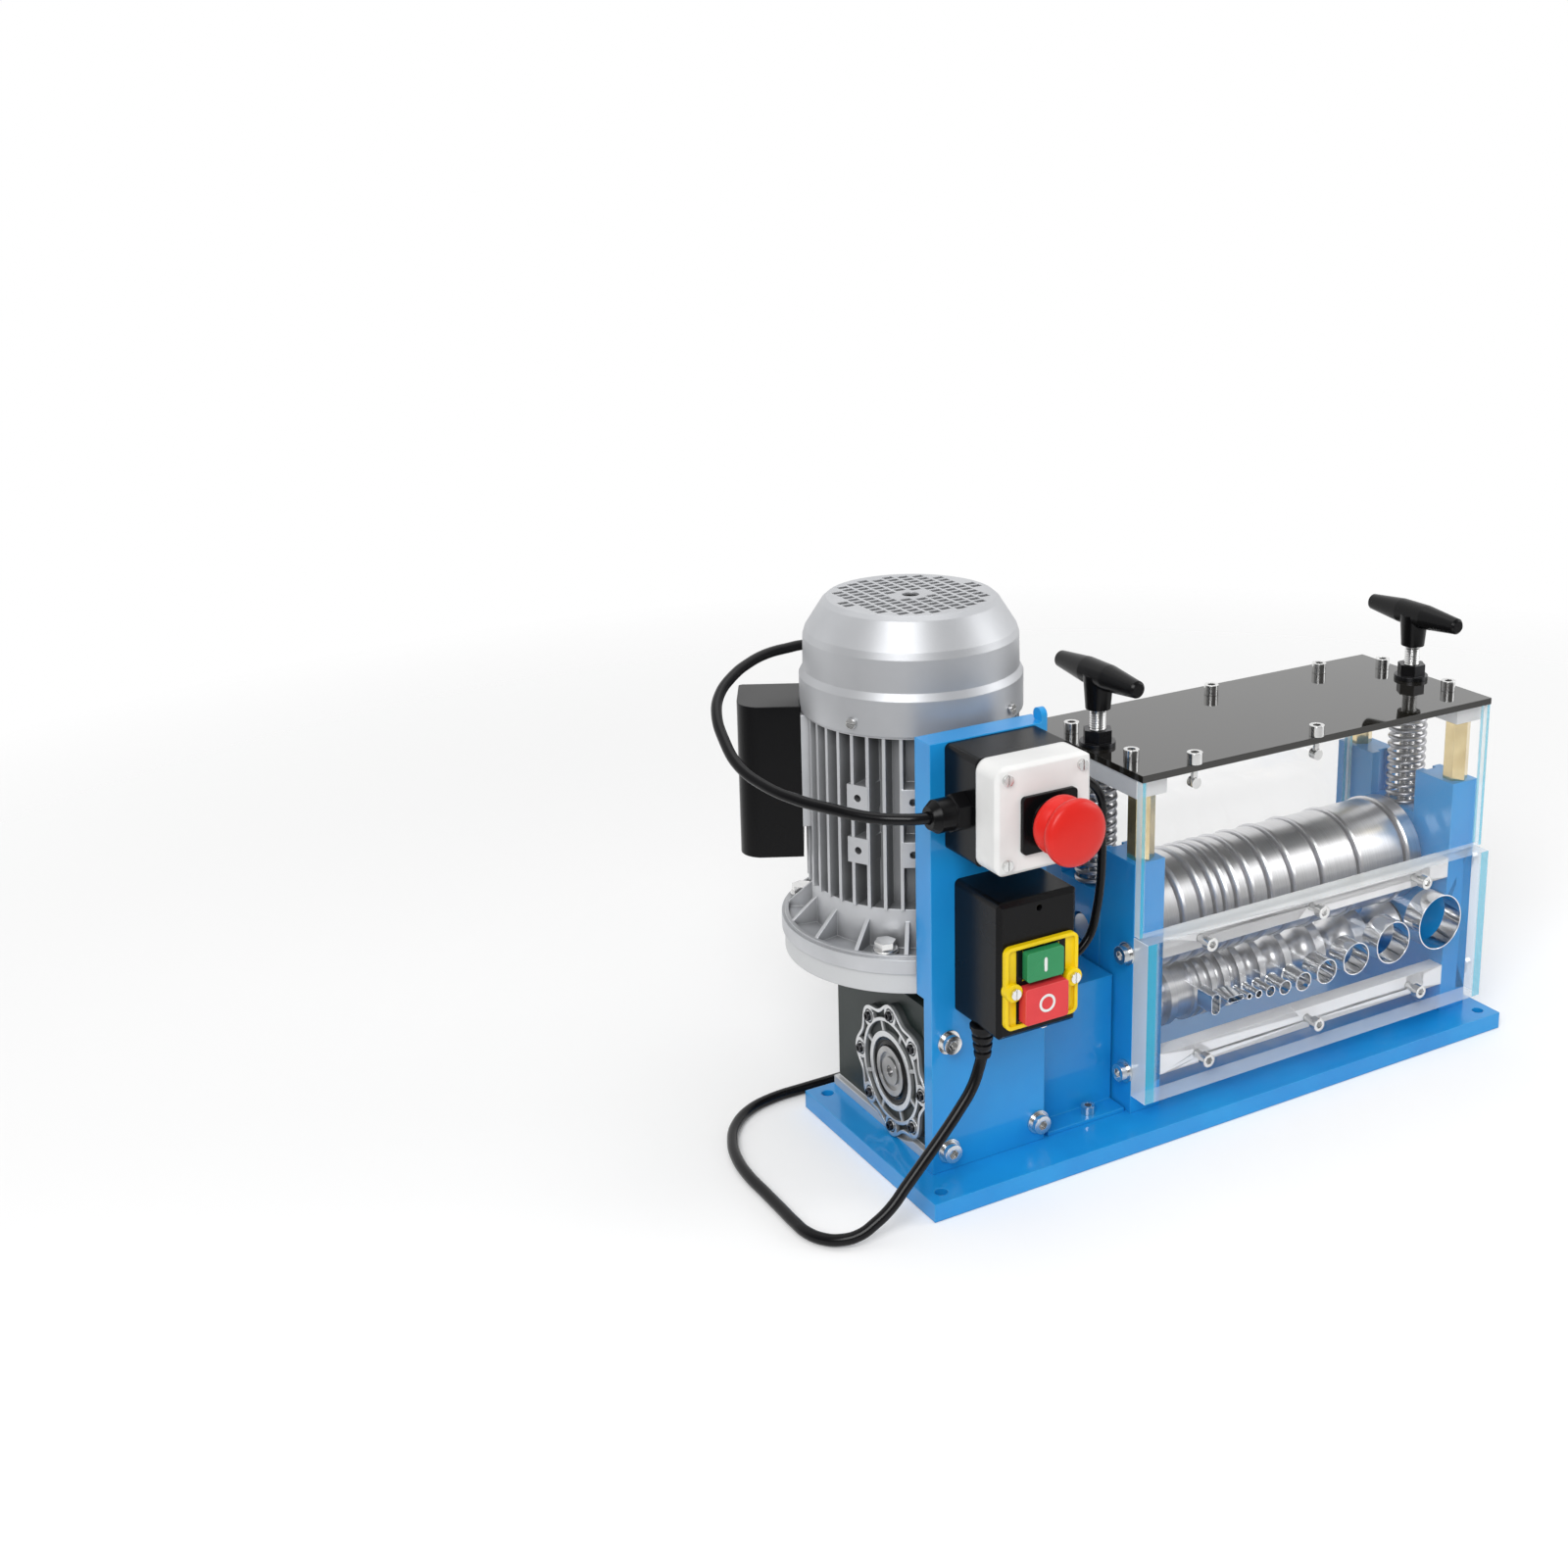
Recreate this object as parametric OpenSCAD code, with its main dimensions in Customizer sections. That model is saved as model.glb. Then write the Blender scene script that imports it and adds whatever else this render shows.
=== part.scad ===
// Bench-top electric wire stripper: worm-geared motor, grooved feed roller, spring-loaded blade roller
// The sub-parts are placed from the front left corner of the base's top face: X right, Y back, Z up

/* [Base] */
// Length of the base plate
base_l = 520; // [480:1:560]
// Depth of the base plate
base_w = 182; // [176:1:200]
// Thickness of the base plate
base_t = 13; // [10:1:18]
// Diameter of the four bench bolt holes
base_hole_d = 9; // [6:0.5:12]
// Distance of the bench bolt holes from the edges
base_hole_in = 12; // [9:1:20]

/* [Stripping frame] */
// Length that the drive takes at the base's left end
drive_l = 179; // [177:1:184]
// Gap from the right side plate to the base's right end
frame_gap = 12; // [6:1:18]
// Thickness of a side plate
plate_t = 26; // [24:1:28]
// Depth of a side plate
plate_w = 128; // [124:1:136]
// Height of a side plate
plate_h = 189; // [184:1:200]
// Distance of the side plates from the base's front edge
plate_y = 28; // [27:1:32]
// Height of the brass posts on the side plates
post_h = 48; // [40:1:60]
// Thickness of the aluminium bridges
bridge_t = 14; // [12:1:20]
// Thickness of the black top cover
cover_t = 5; // [4:0.5:8]

/* [Rollers] */
// Height of the feed roller's axis above the base
roller_z = 50; // [48:1:53]
// Radius of the feed roller over its ridges
lower_r = 25; // [23:0.5:27]
// Radius of the blade roller's spacers
bead_r = 42; // [40:0.5:43]
// Radius of the blades
blade_r = 43.5; // [43:0.5:44.5]
// Radius of the roller journals
journal_r = 10; // [9:0.5:11]
// Lift of the blade roller
lift = 26; // [15:1:28]

/* [Feed block] */
// Height of the clear feed block
feed_h = 121; // [115:1:125]
// Thickness of the clear feed block
feed_t = 16.5; // [14:0.5:18]
// Diameter of the largest feed hole
hole_max = 44; // [40:1:45]
// Diameter of the smallest feed hole
hole_min = 5; // [4.5:0.5:6]
// Wall of the steel feed sleeves
sleeve_t = 0.8; // [0.6:0.1:1]

/* [Drive] */
// Radius of the motor body and its fan cover
motor_r = 77; // [70:1:80]
// Height of the motor's top above the base
motor_top = 373; // [360:1:385]
// Radius of the motor's mounting flange
flange_r = 93; // [86:1:95]
// Distance from the output axis to the worm axis
worm_c = 46; // [42:1:48]
// Height of the drive bracket
bracket_h = 304; // [295:1:315]
// Thickness of the drive bracket's sheet
sheet_t = 4.5; // [3:0.5:5]

/* [Controls] */
// Width and height of the emergency stop box
estop_w = 72; // [66:1:74]
// Width of the switch box
switch_w = 61; // [58:1:66]
// Height of the switch box
switch_h = 94; // [88:1:98]
// Radius of the emergency stop's mushroom head
mushroom_r = 22; // [18:0.5:24]
// Travel of the emergency stop
estop_travel = 5; // [3:0.5:6]

/* [Cables] */
// Diameter of the mains cord
cord_d = 8; // [7:0.5:8]
// Diameter of the motor lead
lead_d = 7.5; // [6:0.5:8]

/* [Hidden] */
$fn = 64;
eps = 0.01;
play = 0.3;
fit = 0.05;

blue = [0.10, 0.42, 0.80];
steel = [0.72, 0.73, 0.75];
alu = [0.82, 0.83, 0.84];
black = [0.05, 0.05, 0.06];
brass = [0.80, 0.66, 0.36];
clear = [0.80, 0.92, 0.95, 0.35];

// Places along X
plate_xl = drive_l;
plate_xr = base_l - frame_gap;
inner_l = plate_xl + plate_t;
inner_r = plate_xr - plate_t;
jack_xl = plate_xl + plate_t / 2;
jack_xr = plate_xr - plate_t / 2;
gear_x = 67;
gear_w = 80;
gear_l = gear_x - gear_w / 2;
gear_r = gear_x + gear_w / 2;

// Places along Y
roller_y = plate_y + plate_w / 2;
worm_y = roller_y + worm_c;
bracket_y = 32.5;
foot_y = bracket_y + sheet_t;
feed_y = plate_y - feed_t;

// Heights
upper_z = roller_z + lower_r + blade_r + 0.5;
slot_w = 48;
slot_z = upper_z - 29;
block_lo = upper_z - 27;
block_hi = upper_z + 35;
bridge_z = plate_h + post_h;
cover_z = bridge_z + bridge_t;
cover_top = cover_z + cover_t;
feed_z = 14;
bar_w = 16;
bar_d = 13;
bar_z = [31, 121];
bar_screw_x = [inner_l + 33, (inner_l + inner_r) / 2 - 1, inner_r - 36];

// Feed channels: nine round holes that grow to the right, one flat slot and one tall slot.
// hole_span is the length from the left side plate to the largest hole at which spread is 1
hole_n = 9;
hole_span = 255;
spread = (inner_r - inner_l - hole_max / 2) / hole_span;
hole_grow = pow(hole_max / hole_min, 1 / (hole_n - 1));
function hole_d(i) = hole_min * pow(hole_grow, i);
function hole_x(i) = i == hole_n - 1 ? inner_r - hole_max / 2
    : hole_x(i + 1) - spread * (hole_d(i + 1) * 0.67 + hole_d(i) / 2 + 2);
function groove_deep(d) = min(0.8 * d, 10.5);
function hole_z(i) = roller_z + lower_r - groove_deep(hole_d(i)) + hole_d(i) / 2;
flat_x = hole_x(0) - spread * 12.7;
flat_w = 15;
flat_h = 5;
tall_x = flat_x - spread * 18;
tall_w = 8;
tall_h = 16;
slot_mid = roller_z + lower_r;
channels = concat([tall_x, flat_x], [for (i = [0 : hole_n - 1]) hole_x(i)]);
blade_t = 1.5;
roll_l = inner_l + 4;
roll_r = inner_r - 4;

// Motor and gearbox heights
input_low = 121;
input_top = 135.5;
motor_z = 148;
shield_z = 294;
shield_top = 310;
core_r = 58;
bore_r = 52;
terminal_z = [192, 264];

// Control boxes on the front of the bracket
switch_x = 36;
switch_z = 115;
estop_x = 29;
estop_z = switch_z + switch_h + 22;
estop_split = -4.5;
estop_front = -28;
knob_x = estop_x + 40;
knob_z = estop_z + 32;
switch_front = -20;
plate_front = switch_front - 4;
button_x = switch_x + switch_w / 2 + 0.5;
start_z = switch_z + 50;
stop_z = switch_z + 24;
start_size = [28, 20];
stop_size = [33, 25];
cord_x = 42;
cord_y = 8;

// Jack screws and springs
screw_r = 6;
handle_z = cover_top + 52;
nut_h = 9;
spring_r = 13.5;
spring_wire = 3.5;
spring_turns = 13;

// Cord routes, chosen by hand, from the same corner as everything else
floor_z = -base_t + cord_d / 2;
coil_c = [200, 258];
coil_step = 8.8;
coil_turns = 4.5;
coil_r = 57;
cord_route = [
    [cord_x, cord_y, switch_z - 8], [cord_x, 8, 96], [cord_x - 3, 8, 84], [33, 7, 72],
    [22, 6, 59], [8, 4, 46], [-8, 2, 32], [-21, 1, 20], [-33, 0, 9], [-44, 1, 1], [-55, 3, -5],
    [-66, 9, -8], [-74, 18, floor_z], [-79, 30, floor_z], [-80, 44, floor_z], [-80, 64, floor_z],
    [-80, 88, floor_z], [-80, 112, floor_z], [-77, 136, floor_z], [-70, 158, floor_z],
    [-58, 178, floor_z], [-40, 193, floor_z], [-18, 200, floor_z], [8, 201, floor_z], [40, 201, floor_z],
    [72, 201, floor_z], [104, 201, floor_z], [136, 201, floor_z], [166, 201, floor_z],
    [coil_c[0] - cord_d, 201, floor_z]];
lead_points = [
    [62, 228, terminal_z[1] + 4], [62, 228, 279], [62, 228, 289], [60, 228, 300], [54, 228, 310],
    [44, 227, 318], [31, 225, 322], [14, 221, 323], [-4, 216, 323], [-22, 208, 321], [-40, 197, 317],
    [-56, 184, 310], [-66, 168, 302], [-71, 147, 291], [-72, 123, 280], [-66, 99, 273], [-56, 75, 269],
    [-42, 51, 267], [-27, 31, 265], [-12, 17, 265], [0, 11, 265], [10, 10, 265], [20, 10, 265]];
lead_z = estop_z + 34;
lead_y = 10;
lead_route = [for (i = [0 : len(lead_points) - 1])
    lead_points[i] + [0, 0, (lead_z - 265) * min(1, i / (len(lead_points) - 4))]];
link_points = [
    [estop_x + estop_w, 14, 272], [109, 14, 272], [117, 14, 271], [124, 14, 268], [130, 13, 263],
    [135, 13, 257], [138, 12, 250], [139, 12, 242], [139, 12, 228], [139, 12, 210], [138, 12, 190],
    [135, 12, 171], [131, 12, 157], [126, 12, 150], [120, 12, 145], [113, 12, 142], [105, 12, 141],
    [switch_x + switch_w, 12, 141]];
link_rise = estop_z + 41 - 272;
switch_route = [for (i = [0 : len(link_points) - 1])
    link_points[i] + [0, 0, link_rise * min(1, max(0, (len(link_points) - 5 - i) / (len(link_points) - 9)))]];

// Moves a shape from the corner frame to the part's own frame
module corner() translate([-base_l / 2, -base_w / 2, base_t]) children();

// Cylinder along X from x0 to x1
module xcyl(r, x0, x1, y, z) translate([x0, y, z]) rotate([0, 90, 0]) cylinder(r = r, h = x1 - x0);

// Cylinder along Y from y0 to y1
module ycyl(r, y0, y1, x, z) translate([x, y1, z]) rotate([90, 0, 0]) cylinder(r = r, h = y1 - y0);

// Cylinder along Z from z0 to z1
module zcyl(r, z0, z1, x, y) translate([x, y, z0]) cylinder(r = r, h = z1 - z0);

// Box between two corners
module box(a, b) translate(a) cube(b - a);

// Flat rectangle with round corners, from its lower left corner
module round_rect(w, h, r) {
    translate([r, 0]) square([w - 2 * r, h]);
    translate([0, r]) square([w, h - 2 * r]);
    for (x = [r, w - r], y = [r, h - r]) translate([x, y]) circle(r);
}

// Box with round edges along Y
module ybox(x, z, w, h, y0, y1, r)
    translate([x, y1, z]) rotate([90, 0, 0]) linear_extrude(y1 - y0) round_rect(w, h, r);

// Box with round edges along Y and a bevel c round its front face at y0
module soft_box(x, z, w, h, y0, y1, r, c) intersection() {
    ybox(x, z, w, h, y0, y1, r);
    translate([x, 0, z]) linear_extrude(h) polygon([[0, y1], [0, y0 + c], [c, y0], [w - c, y0],
        [w, y0 + c], [w, y1]]);
    translate([x, 0, z]) rotate([90, 0, 90]) linear_extrude(w) polygon([[y1, 0], [y0 + c, 0], [y0, c],
        [y0, h - c], [y0 + c, h], [y1, h]]);
}

// Box with round edges along Z
module zbox(x, y, w, d, z0, z1, r)
    translate([x, y, z0]) linear_extrude(z1 - z0) round_rect(w, d, r);

function unit(v) = v / norm(v);

// Direction of a route at point i
function heading(p, i) = unit(p[min(i + 1, len(p) - 1)] - p[max(i - 1, 0)]);

// Side vectors carried along a route without twist
function sides(p, i = 0, out = []) = i == len(p) ? out
    : let (t = heading(p, i), v = i == 0 ? (abs(t[2]) > 0.7 ? [1, 0, 0] : [0, 0, 1]) : out[i - 1])
      sides(p, i + 1, concat(out, [unit(v - (v * t) * t)]));

// Closed round tube along a route
module tube(p, r, n) {
    s = sides(p);
    pts = [for (i = [0 : len(p) - 1]) let (b = cross(heading(p, i), s[i]))
        for (k = [0 : n - 1]) p[i] + r * (cos(360 * k / n) * s[i] + sin(360 * k / n) * b)];
    walls = [for (i = [0 : len(p) - 2], k = [0 : n - 1])
        let (a = i * n + k, b = i * n + n + k, c = i * n + n + (k + 1) % n, d = i * n + (k + 1) % n)
        each [[a, b, c], [a, c, d]]];
    first = [for (k = [1 : n - 2]) [0, k, k + 1]];
    e = (len(p) - 1) * n;
    last = [for (k = [1 : n - 2]) [e, e + k + 1, e + k]];
    polyhedron(pts, concat(walls, first, last));
}

// Least distance between the centres of turns that are more than half a turn apart
function self_gap(p, per_turn, d) = min([for (i = [0 : 2 : len(p) - 1], j = [i + per_turn / 2 : len(p) - 1])
    norm(p[i] - p[j])]) - d;

// Base

module base_plate() color(blue) corner() difference() {
    box([0, 0, -base_t], [base_l, base_w, 0]);
    for (x = [base_hole_in, base_l - base_hole_in], y = [base_hole_in, base_w - base_hole_in])
        zcyl(base_hole_d / 2, -base_t - 1, 1, x, y);
    for (y = guard_screw_y) zcyl(3, -8, 1, guard_screw_x, y);
}

// Folded sheet that carries the gearbox and the two control boxes
bracket_x = 18;
bracket_w = 90;
fold_d = 19;
fold_z = 125;
foot_fold_d = 10;
gear_bolt_x = [gear_x - 36.5, gear_x + 35.5];
gear_bolt_z = [15, 95];
module drive_bracket() color(blue) corner() difference() {
    union() {
        box([bracket_x, bracket_y, 0], [bracket_x + bracket_w, foot_y, bracket_h]);
        box([bracket_x, bracket_y, 0], [bracket_x + sheet_t, bracket_y + foot_fold_d, fold_z]);
        box([bracket_x, bracket_y, fold_z], [bracket_x + sheet_t, bracket_y + fold_d, bracket_h]);
        box([bracket_x, bracket_y, bracket_h - sheet_t],
            [bracket_x + bracket_w, bracket_y + fold_d, bracket_h]);
        translate([bracket_x + bracket_w - sheet_t, bracket_y, fold_z])
            rotate([90, 0, 90]) linear_extrude(sheet_t) {
                square([fold_d, bracket_h - fold_z]);
                square([8, bracket_h - fold_z + 4]);
                translate([5, bracket_h - fold_z + 4]) circle(5);
            }
    }
    for (x = gear_bolt_x, z = gear_bolt_z) ycyl(4.2, bracket_y - 1, foot_y + 1, x, z);
}

// Sheet cover over the coupling
guard_y = 50;
guard_d = 96;
guard_h = 99;
guard_t = 3;
guard_x0 = bracket_x + bracket_w + 4;
guard_x1 = plate_xl - 1.5;
guard_screw_x = guard_x1 - 26;
guard_screw_y = [guard_y - 9, guard_y + guard_d + 9];
module coupling_guard() color(blue) corner() difference() {
    translate([guard_x0, 0, 0]) rotate([90, 0, 90]) linear_extrude(guard_x1 - guard_x0) {
        translate([guard_y - 17, 0]) square([17 + guard_t, guard_t]);
        translate([guard_y, 0]) square([guard_t, guard_h]);
        translate([guard_y, guard_h - guard_t]) square([guard_d, guard_t]);
        translate([guard_y + guard_d - guard_t, 0]) square([guard_t, guard_h]);
        translate([guard_y + guard_d - guard_t, 0]) square([17 + guard_t, guard_t]);
    }
    for (y = guard_screw_y) zcyl(3.2, -1, guard_t + 1, guard_screw_x, y);
}

// Stripping frame

// Outline of a fork-shaped side plate, along Y and Z
module fork() difference() {
    square([plate_w, plate_h]);
    translate([plate_w / 2 - slot_w / 2, slot_z]) square([slot_w, plate_h]);
}

// Side plate with its inner face towards +X and its tie bar holes at bar_y
module side_plate(bar_y) difference() {
    translate([0, plate_y, 0]) rotate([90, 0, 90]) linear_extrude(plate_t) fork();
    box([plate_t / 2 - 5, roller_y - slot_w / 2 - 4, slot_z],
        [plate_t / 2 + 5, roller_y + slot_w / 2 + 4, plate_h + 1]);
    xcyl(journal_r + 2, -1, plate_t + 1, roller_y, roller_z);
    xcyl(bearing_r, plate_t - bearing_w, plate_t + 1, roller_y, roller_z);
    for (z = bar_z) xcyl(4.2, -1, plate_t + 1, bar_y, z);
}
bearing_r = 21;
bearing_w = 14;
module left_side_plate() color(blue) corner() translate([plate_xl, 0, 0]) side_plate(plate_y + bar_d / 2);

// The right plate is turned round, so its tie bar holes are at the other end before the turn
module right_side_plate() color(blue) corner()
    translate([plate_xr, 2 * roller_y, 0]) rotate([0, 0, 180]) side_plate(plate_y + plate_w - bar_d / 2);

cover_screw_y = [plate_y + 24, plate_y + 96];
cover_over = 8;
module end_bridges() color(alu) corner() for (x = [plate_xl, inner_r]) difference() {
    box([x, plate_y, bridge_z], [x + plate_t, plate_y + plate_w, cover_z]);
    zcyl(screw_r + play, bridge_z - 1, cover_z + 1, x + plate_t / 2, roller_y);
    for (y = cover_screw_y) zcyl(2.6, bridge_z - 1, cover_z + 1, x + plate_t / 2, y);
}

module brass_posts() color(brass) corner()
    for (x = [jack_xl, jack_xr], y = [plate_y + 11, plate_y + plate_w - 11])
        translate([x, y, plate_h]) rotate([0, 0, 30]) cylinder(r = 9.6, h = post_h, $fn = 6);

// Front sheet and rear sheet hang under the top cover on barrel nuts
front_y = plate_y - cover_over + 0.5;
front_t = 6;
rear_y = plate_y + plate_w - 17;
nut_z = cover_z - 9;
front_nut_x = [plate_xl + 46, plate_xl + 157];
rear_nut_x = [plate_xr - 173, plate_xr - 64];
sheet_screws = concat([for (x = front_nut_x) [x, front_y + front_t / 2]],
    [for (x = rear_nut_x) [x, rear_y + front_t / 2]]);
cover_screws = concat(sheet_screws, [for (x = [jack_xl, jack_xr], y = cover_screw_y) [x, y]]);

module top_cover() color([0.08, 0.08, 0.08]) corner() difference() {
    box([plate_xl - 1, plate_y - cover_over, cover_z], [plate_xr + 1, plate_y + plate_w + 6, cover_top]);
    for (p = cover_screws) zcyl(2.6, cover_z - 1, cover_top + 1, p[0], p[1]);
    for (x = [jack_xl, jack_xr]) zcyl(screw_r + play, cover_z - 1, cover_top + 1, x, roller_y);
}

module top_cover_screws() color(steel) corner() for (p = cover_screws) translate([p[0], p[1], cover_top]) {
    difference() {
        cylinder(r = 5.5, h = 8);
        translate([0, 0, 3]) cylinder(r = 3.2, h = 6, $fn = 6);
    }
    translate([0, 0, -16]) cylinder(r = 2.4, h = 16 + eps);
}

// Clear sheet with slots for its barrel nuts and their screws
module hung_sheet(x0, x1, y, z0, nuts) difference() {
    box([x0, y, z0], [x1, y + front_t, cover_z]);
    for (x = nuts) {
        ycyl(4, y - 1, y + front_t + 1, x, nut_z);
        zcyl(2.6, nut_z, cover_z + 1, x, y + front_t / 2);
    }
}
module front_sheet() color(clear) corner()
    hung_sheet(plate_xl - 0.5, plate_xr + 0.5, front_y, feed_z + feed_h + 2, front_nut_x);
module rear_sheet() color(clear) corner()
    hung_sheet(inner_l + 1, inner_r - 1, rear_y, upper_z + 10, rear_nut_x);

module barrel_nut(x, y) difference() {
    ycyl(4, y, y + front_t, x, nut_z);
    zcyl(2.6, nut_z - 5, nut_z + 5, x, y + front_t / 2);
}
module barrel_nuts() color(steel) corner() {
    for (x = front_nut_x) barrel_nut(x, front_y);
    for (x = rear_nut_x) barrel_nut(x, rear_y);
}

// Upright slot with a half round at each end, cut through along Y
module slot_cut(x, z, w, h, y0, y1) ybox(x - w / 2, z - h / 2, w, h, y0, y1, min(w, h) / 2 - eps);

module feed_block() color(clear) corner() difference() {
    box([plate_xl + play, feed_y, feed_z], [plate_xr - play, plate_y, feed_z + feed_h]);
    for (i = [0 : hole_n - 1]) ycyl(hole_d(i) / 2, feed_y - 1, plate_y + 1, hole_x(i), hole_z(i));
    slot_cut(flat_x, slot_mid, flat_w, flat_h, feed_y - 1, plate_y + 1);
    slot_cut(tall_x, slot_mid, tall_w, tall_h, feed_y - 1, plate_y + 1);
    for (x = bar_screw_x, z = bar_z) {
        ycyl(3.2, feed_y - 1, plate_y + 1, x, z);
        ycyl(5.4, feed_y - 1, feed_y + 8, x, z);
    }
}

module feed_sleeves() color(steel) corner() for (i = [0 : hole_n - 1]) difference() {
    ycyl(hole_d(i) / 2, feed_y, plate_y, hole_x(i), hole_z(i));
    ycyl(hole_d(i) / 2 - sleeve_t, feed_y - 1, plate_y + 1, hole_x(i), hole_z(i));
}

module tie_bars() color(alu) corner() for (z = bar_z) difference() {
    box([inner_l, plate_y, z - bar_w / 2], [inner_r, plate_y + bar_d, z + bar_w / 2]);
    for (x = bar_screw_x) ycyl(3.2, plate_y - 1, plate_y + 10, x, z);
    for (x = [inner_l - 1, inner_r - 19]) xcyl(4.2, x, x + 20, plate_y + bar_d / 2, z);
}

// Ball bearing seen as one ring, with its inner face flush at x
module bearing(x0, z) difference() {
    xcyl(bearing_r, x0, x0 + bearing_w, roller_y, z);
    xcyl(journal_r + fit, x0 - 1, x0 + bearing_w + 1, roller_y, z);
}
module lower_bearings() color(steel) corner() {
    bearing(inner_l - bearing_w, roller_z);
    bearing(inner_r, roller_z);
}

module thread_nuts() color(steel) corner() for (x = [jack_xl, jack_xr]) difference() {
    union() {
        translate([x, roller_y, cover_top]) cylinder(r = 13, h = 3);
        translate([x, roller_y, cover_top + 3]) cylinder(r = 11, h = nut_h, $fn = 6);
    }
    zcyl(screw_r + play, cover_top - 1, cover_top + nut_h + 4, x, roller_y);
}

// Fasteners, each drawn with its head's seat at the origin and its shank along -Z

module bolt_m8() {
    cylinder(r = 8.4, h = 1.6);
    difference() {
        translate([0, 0, 1.6 - eps]) cylinder(r = 6.5, h = 5.5);
        translate([0, 0, 4]) cylinder(r = 3.5, h = 5, $fn = 6);
    }
    translate([0, 0, -20]) cylinder(r = 4, h = 20 + eps);
}
module bolt_hex() {
    cylinder(r = 8.4, h = 1.6);
    translate([0, 0, 1.6 - eps]) cylinder(r = 7.5, h = 5.3, $fn = 6);
    translate([0, 0, -20]) cylinder(r = 4, h = 20 + eps);
}
module m8_bolts() color(steel) corner() {
    for (x = gear_bolt_x, z = gear_bolt_z) translate([x, bracket_y, z]) rotate([90, 0, 0]) bolt_m8();
    for (z = bar_z) {
        translate([plate_xl, plate_y + bar_d / 2, z]) rotate([0, -90, 0]) bolt_long(plate_t + 12);
        translate([plate_xr, plate_y + bar_d / 2, z]) rotate([0, 90, 0]) bolt_long(plate_t + 12);
    }
    for (a = flange_bolt_a) translate([gear_x, worm_y, motor_z]) rotate([0, 0, a])
        translate([flange_bolt_r, 0, 0]) bolt_hex();
}
module bolt_long(h) {
    bolt_m8();
    translate([0, 0, -h]) cylinder(r = 4, h = h);
}
flange_bolt_a = [46, 136, 226, 316];
flange_bolt_r = flange_r - 11;
rib_a = [for (k = [0 : 15]) 22.5 * k + 11.25];

module screw_m6(h) {
    difference() {
        cylinder(r = 5, h = 6);
        translate([0, 0, 2.5]) cylinder(r = 2.9, h = 4, $fn = 6);
    }
    translate([0, 0, -h]) cylinder(r = 3, h = h + eps);
}
module m6_screws() color(steel) corner() {
    for (x = bar_screw_x, z = bar_z) translate([x, feed_y + 8, z]) rotate([90, 0, 0]) screw_m6(feed_t);
    for (y = guard_screw_y) translate([guard_screw_x, y, guard_t]) screw_m6(9);
}

module screw_m4() {
    difference() {
        cylinder(r = 3.6, h = 2.4);
        translate([-0.5, -5, 1.4]) cube([1, 10, 2]);
    }
    translate([0, 0, -8]) cylinder(r = 1.9, h = 8 + eps);
}
fan_screw_a = [29, 119, 209, 299];
estop_screw_in = 8;
lug_x = [button_x - 23, button_x + 23];
lug_z = switch_z + 35;
module small_screws() color(steel) corner() {
    for (a = fan_screw_a) translate([gear_x, worm_y, shield_top - 7]) rotate([0, 0, a])
        translate([motor_r, 0, 0]) rotate([0, 90, 0]) screw_m4();
    for (x = [estop_screw_in, estop_w - estop_screw_in], z = [estop_screw_in, estop_w - estop_screw_in])
        translate([estop_x + x, estop_front, estop_z + z]) rotate([90, 0, 0]) screw_m4();
    for (x = lug_x) translate([x, plate_front - lug_h, lug_z]) rotate([90, 0, 0]) screw_m4();
}

// Drive

wheel_r = 32;
wheel_hub_r = 17.5;
worm_r = worm_c - wheel_r - 1;
module gearbox_housing() color(alu) corner() difference() {
    union() {
        translate([gear_l, 0, 0]) rotate([90, 0, 90]) linear_extrude(gear_w) gear_outline();
        for (x = gear_bolt_x, z = gear_bolt_z) ycyl(7.5, foot_y, foot_y + 16, x, z);
        difference() {
            box([gear_l - 4, foot_y, 0], [gear_r + 4, worm_y + 42, 7]);
            xcyl(cover_ring_r + ear_r + 0.5, gear_l - 5, gear_l, roller_y, roller_z);
        }
        zcyl(40, 4, input_low + eps, gear_x, worm_y);
        zcyl(60, input_low - 7, input_low + eps, gear_x, worm_y);
        zcyl(flange_r - 2, input_low, input_top, gear_x, worm_y);
    }
    xcyl(wheel_hub_r + 0.5, gear_l - 1, gear_r + 1, roller_y, roller_z);
    xcyl(wheel_r + 3, gear_x - 16, gear_x + 16, roller_y, roller_z);
    zcyl(worm_r + 3, 13, input_top + 1, gear_x, worm_y);
    zcyl(9 + fit, 6, 13, gear_x, worm_y);
    for (x = gear_bolt_x, z = gear_bolt_z) ycyl(4.2, foot_y - 1, foot_y + 16.5, x, z);
    for (a = flange_bolt_a) translate([gear_x, worm_y, 0]) rotate([0, 0, a])
        zcyl(4.2, input_low - 1, input_top + 1, flange_bolt_r, 0);
}

// Gearbox seen along X: a round body about the output axis, feet to the front, worm housing behind
module gear_outline() {
    translate([foot_y, 4]) round_rect(30, 98, 6);
    translate([foot_y + 8, 5]) square([worm_y + 41 - foot_y - 8, 105]);
    translate([roller_y, roller_z]) circle(roller_z - 4);
}

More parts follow.
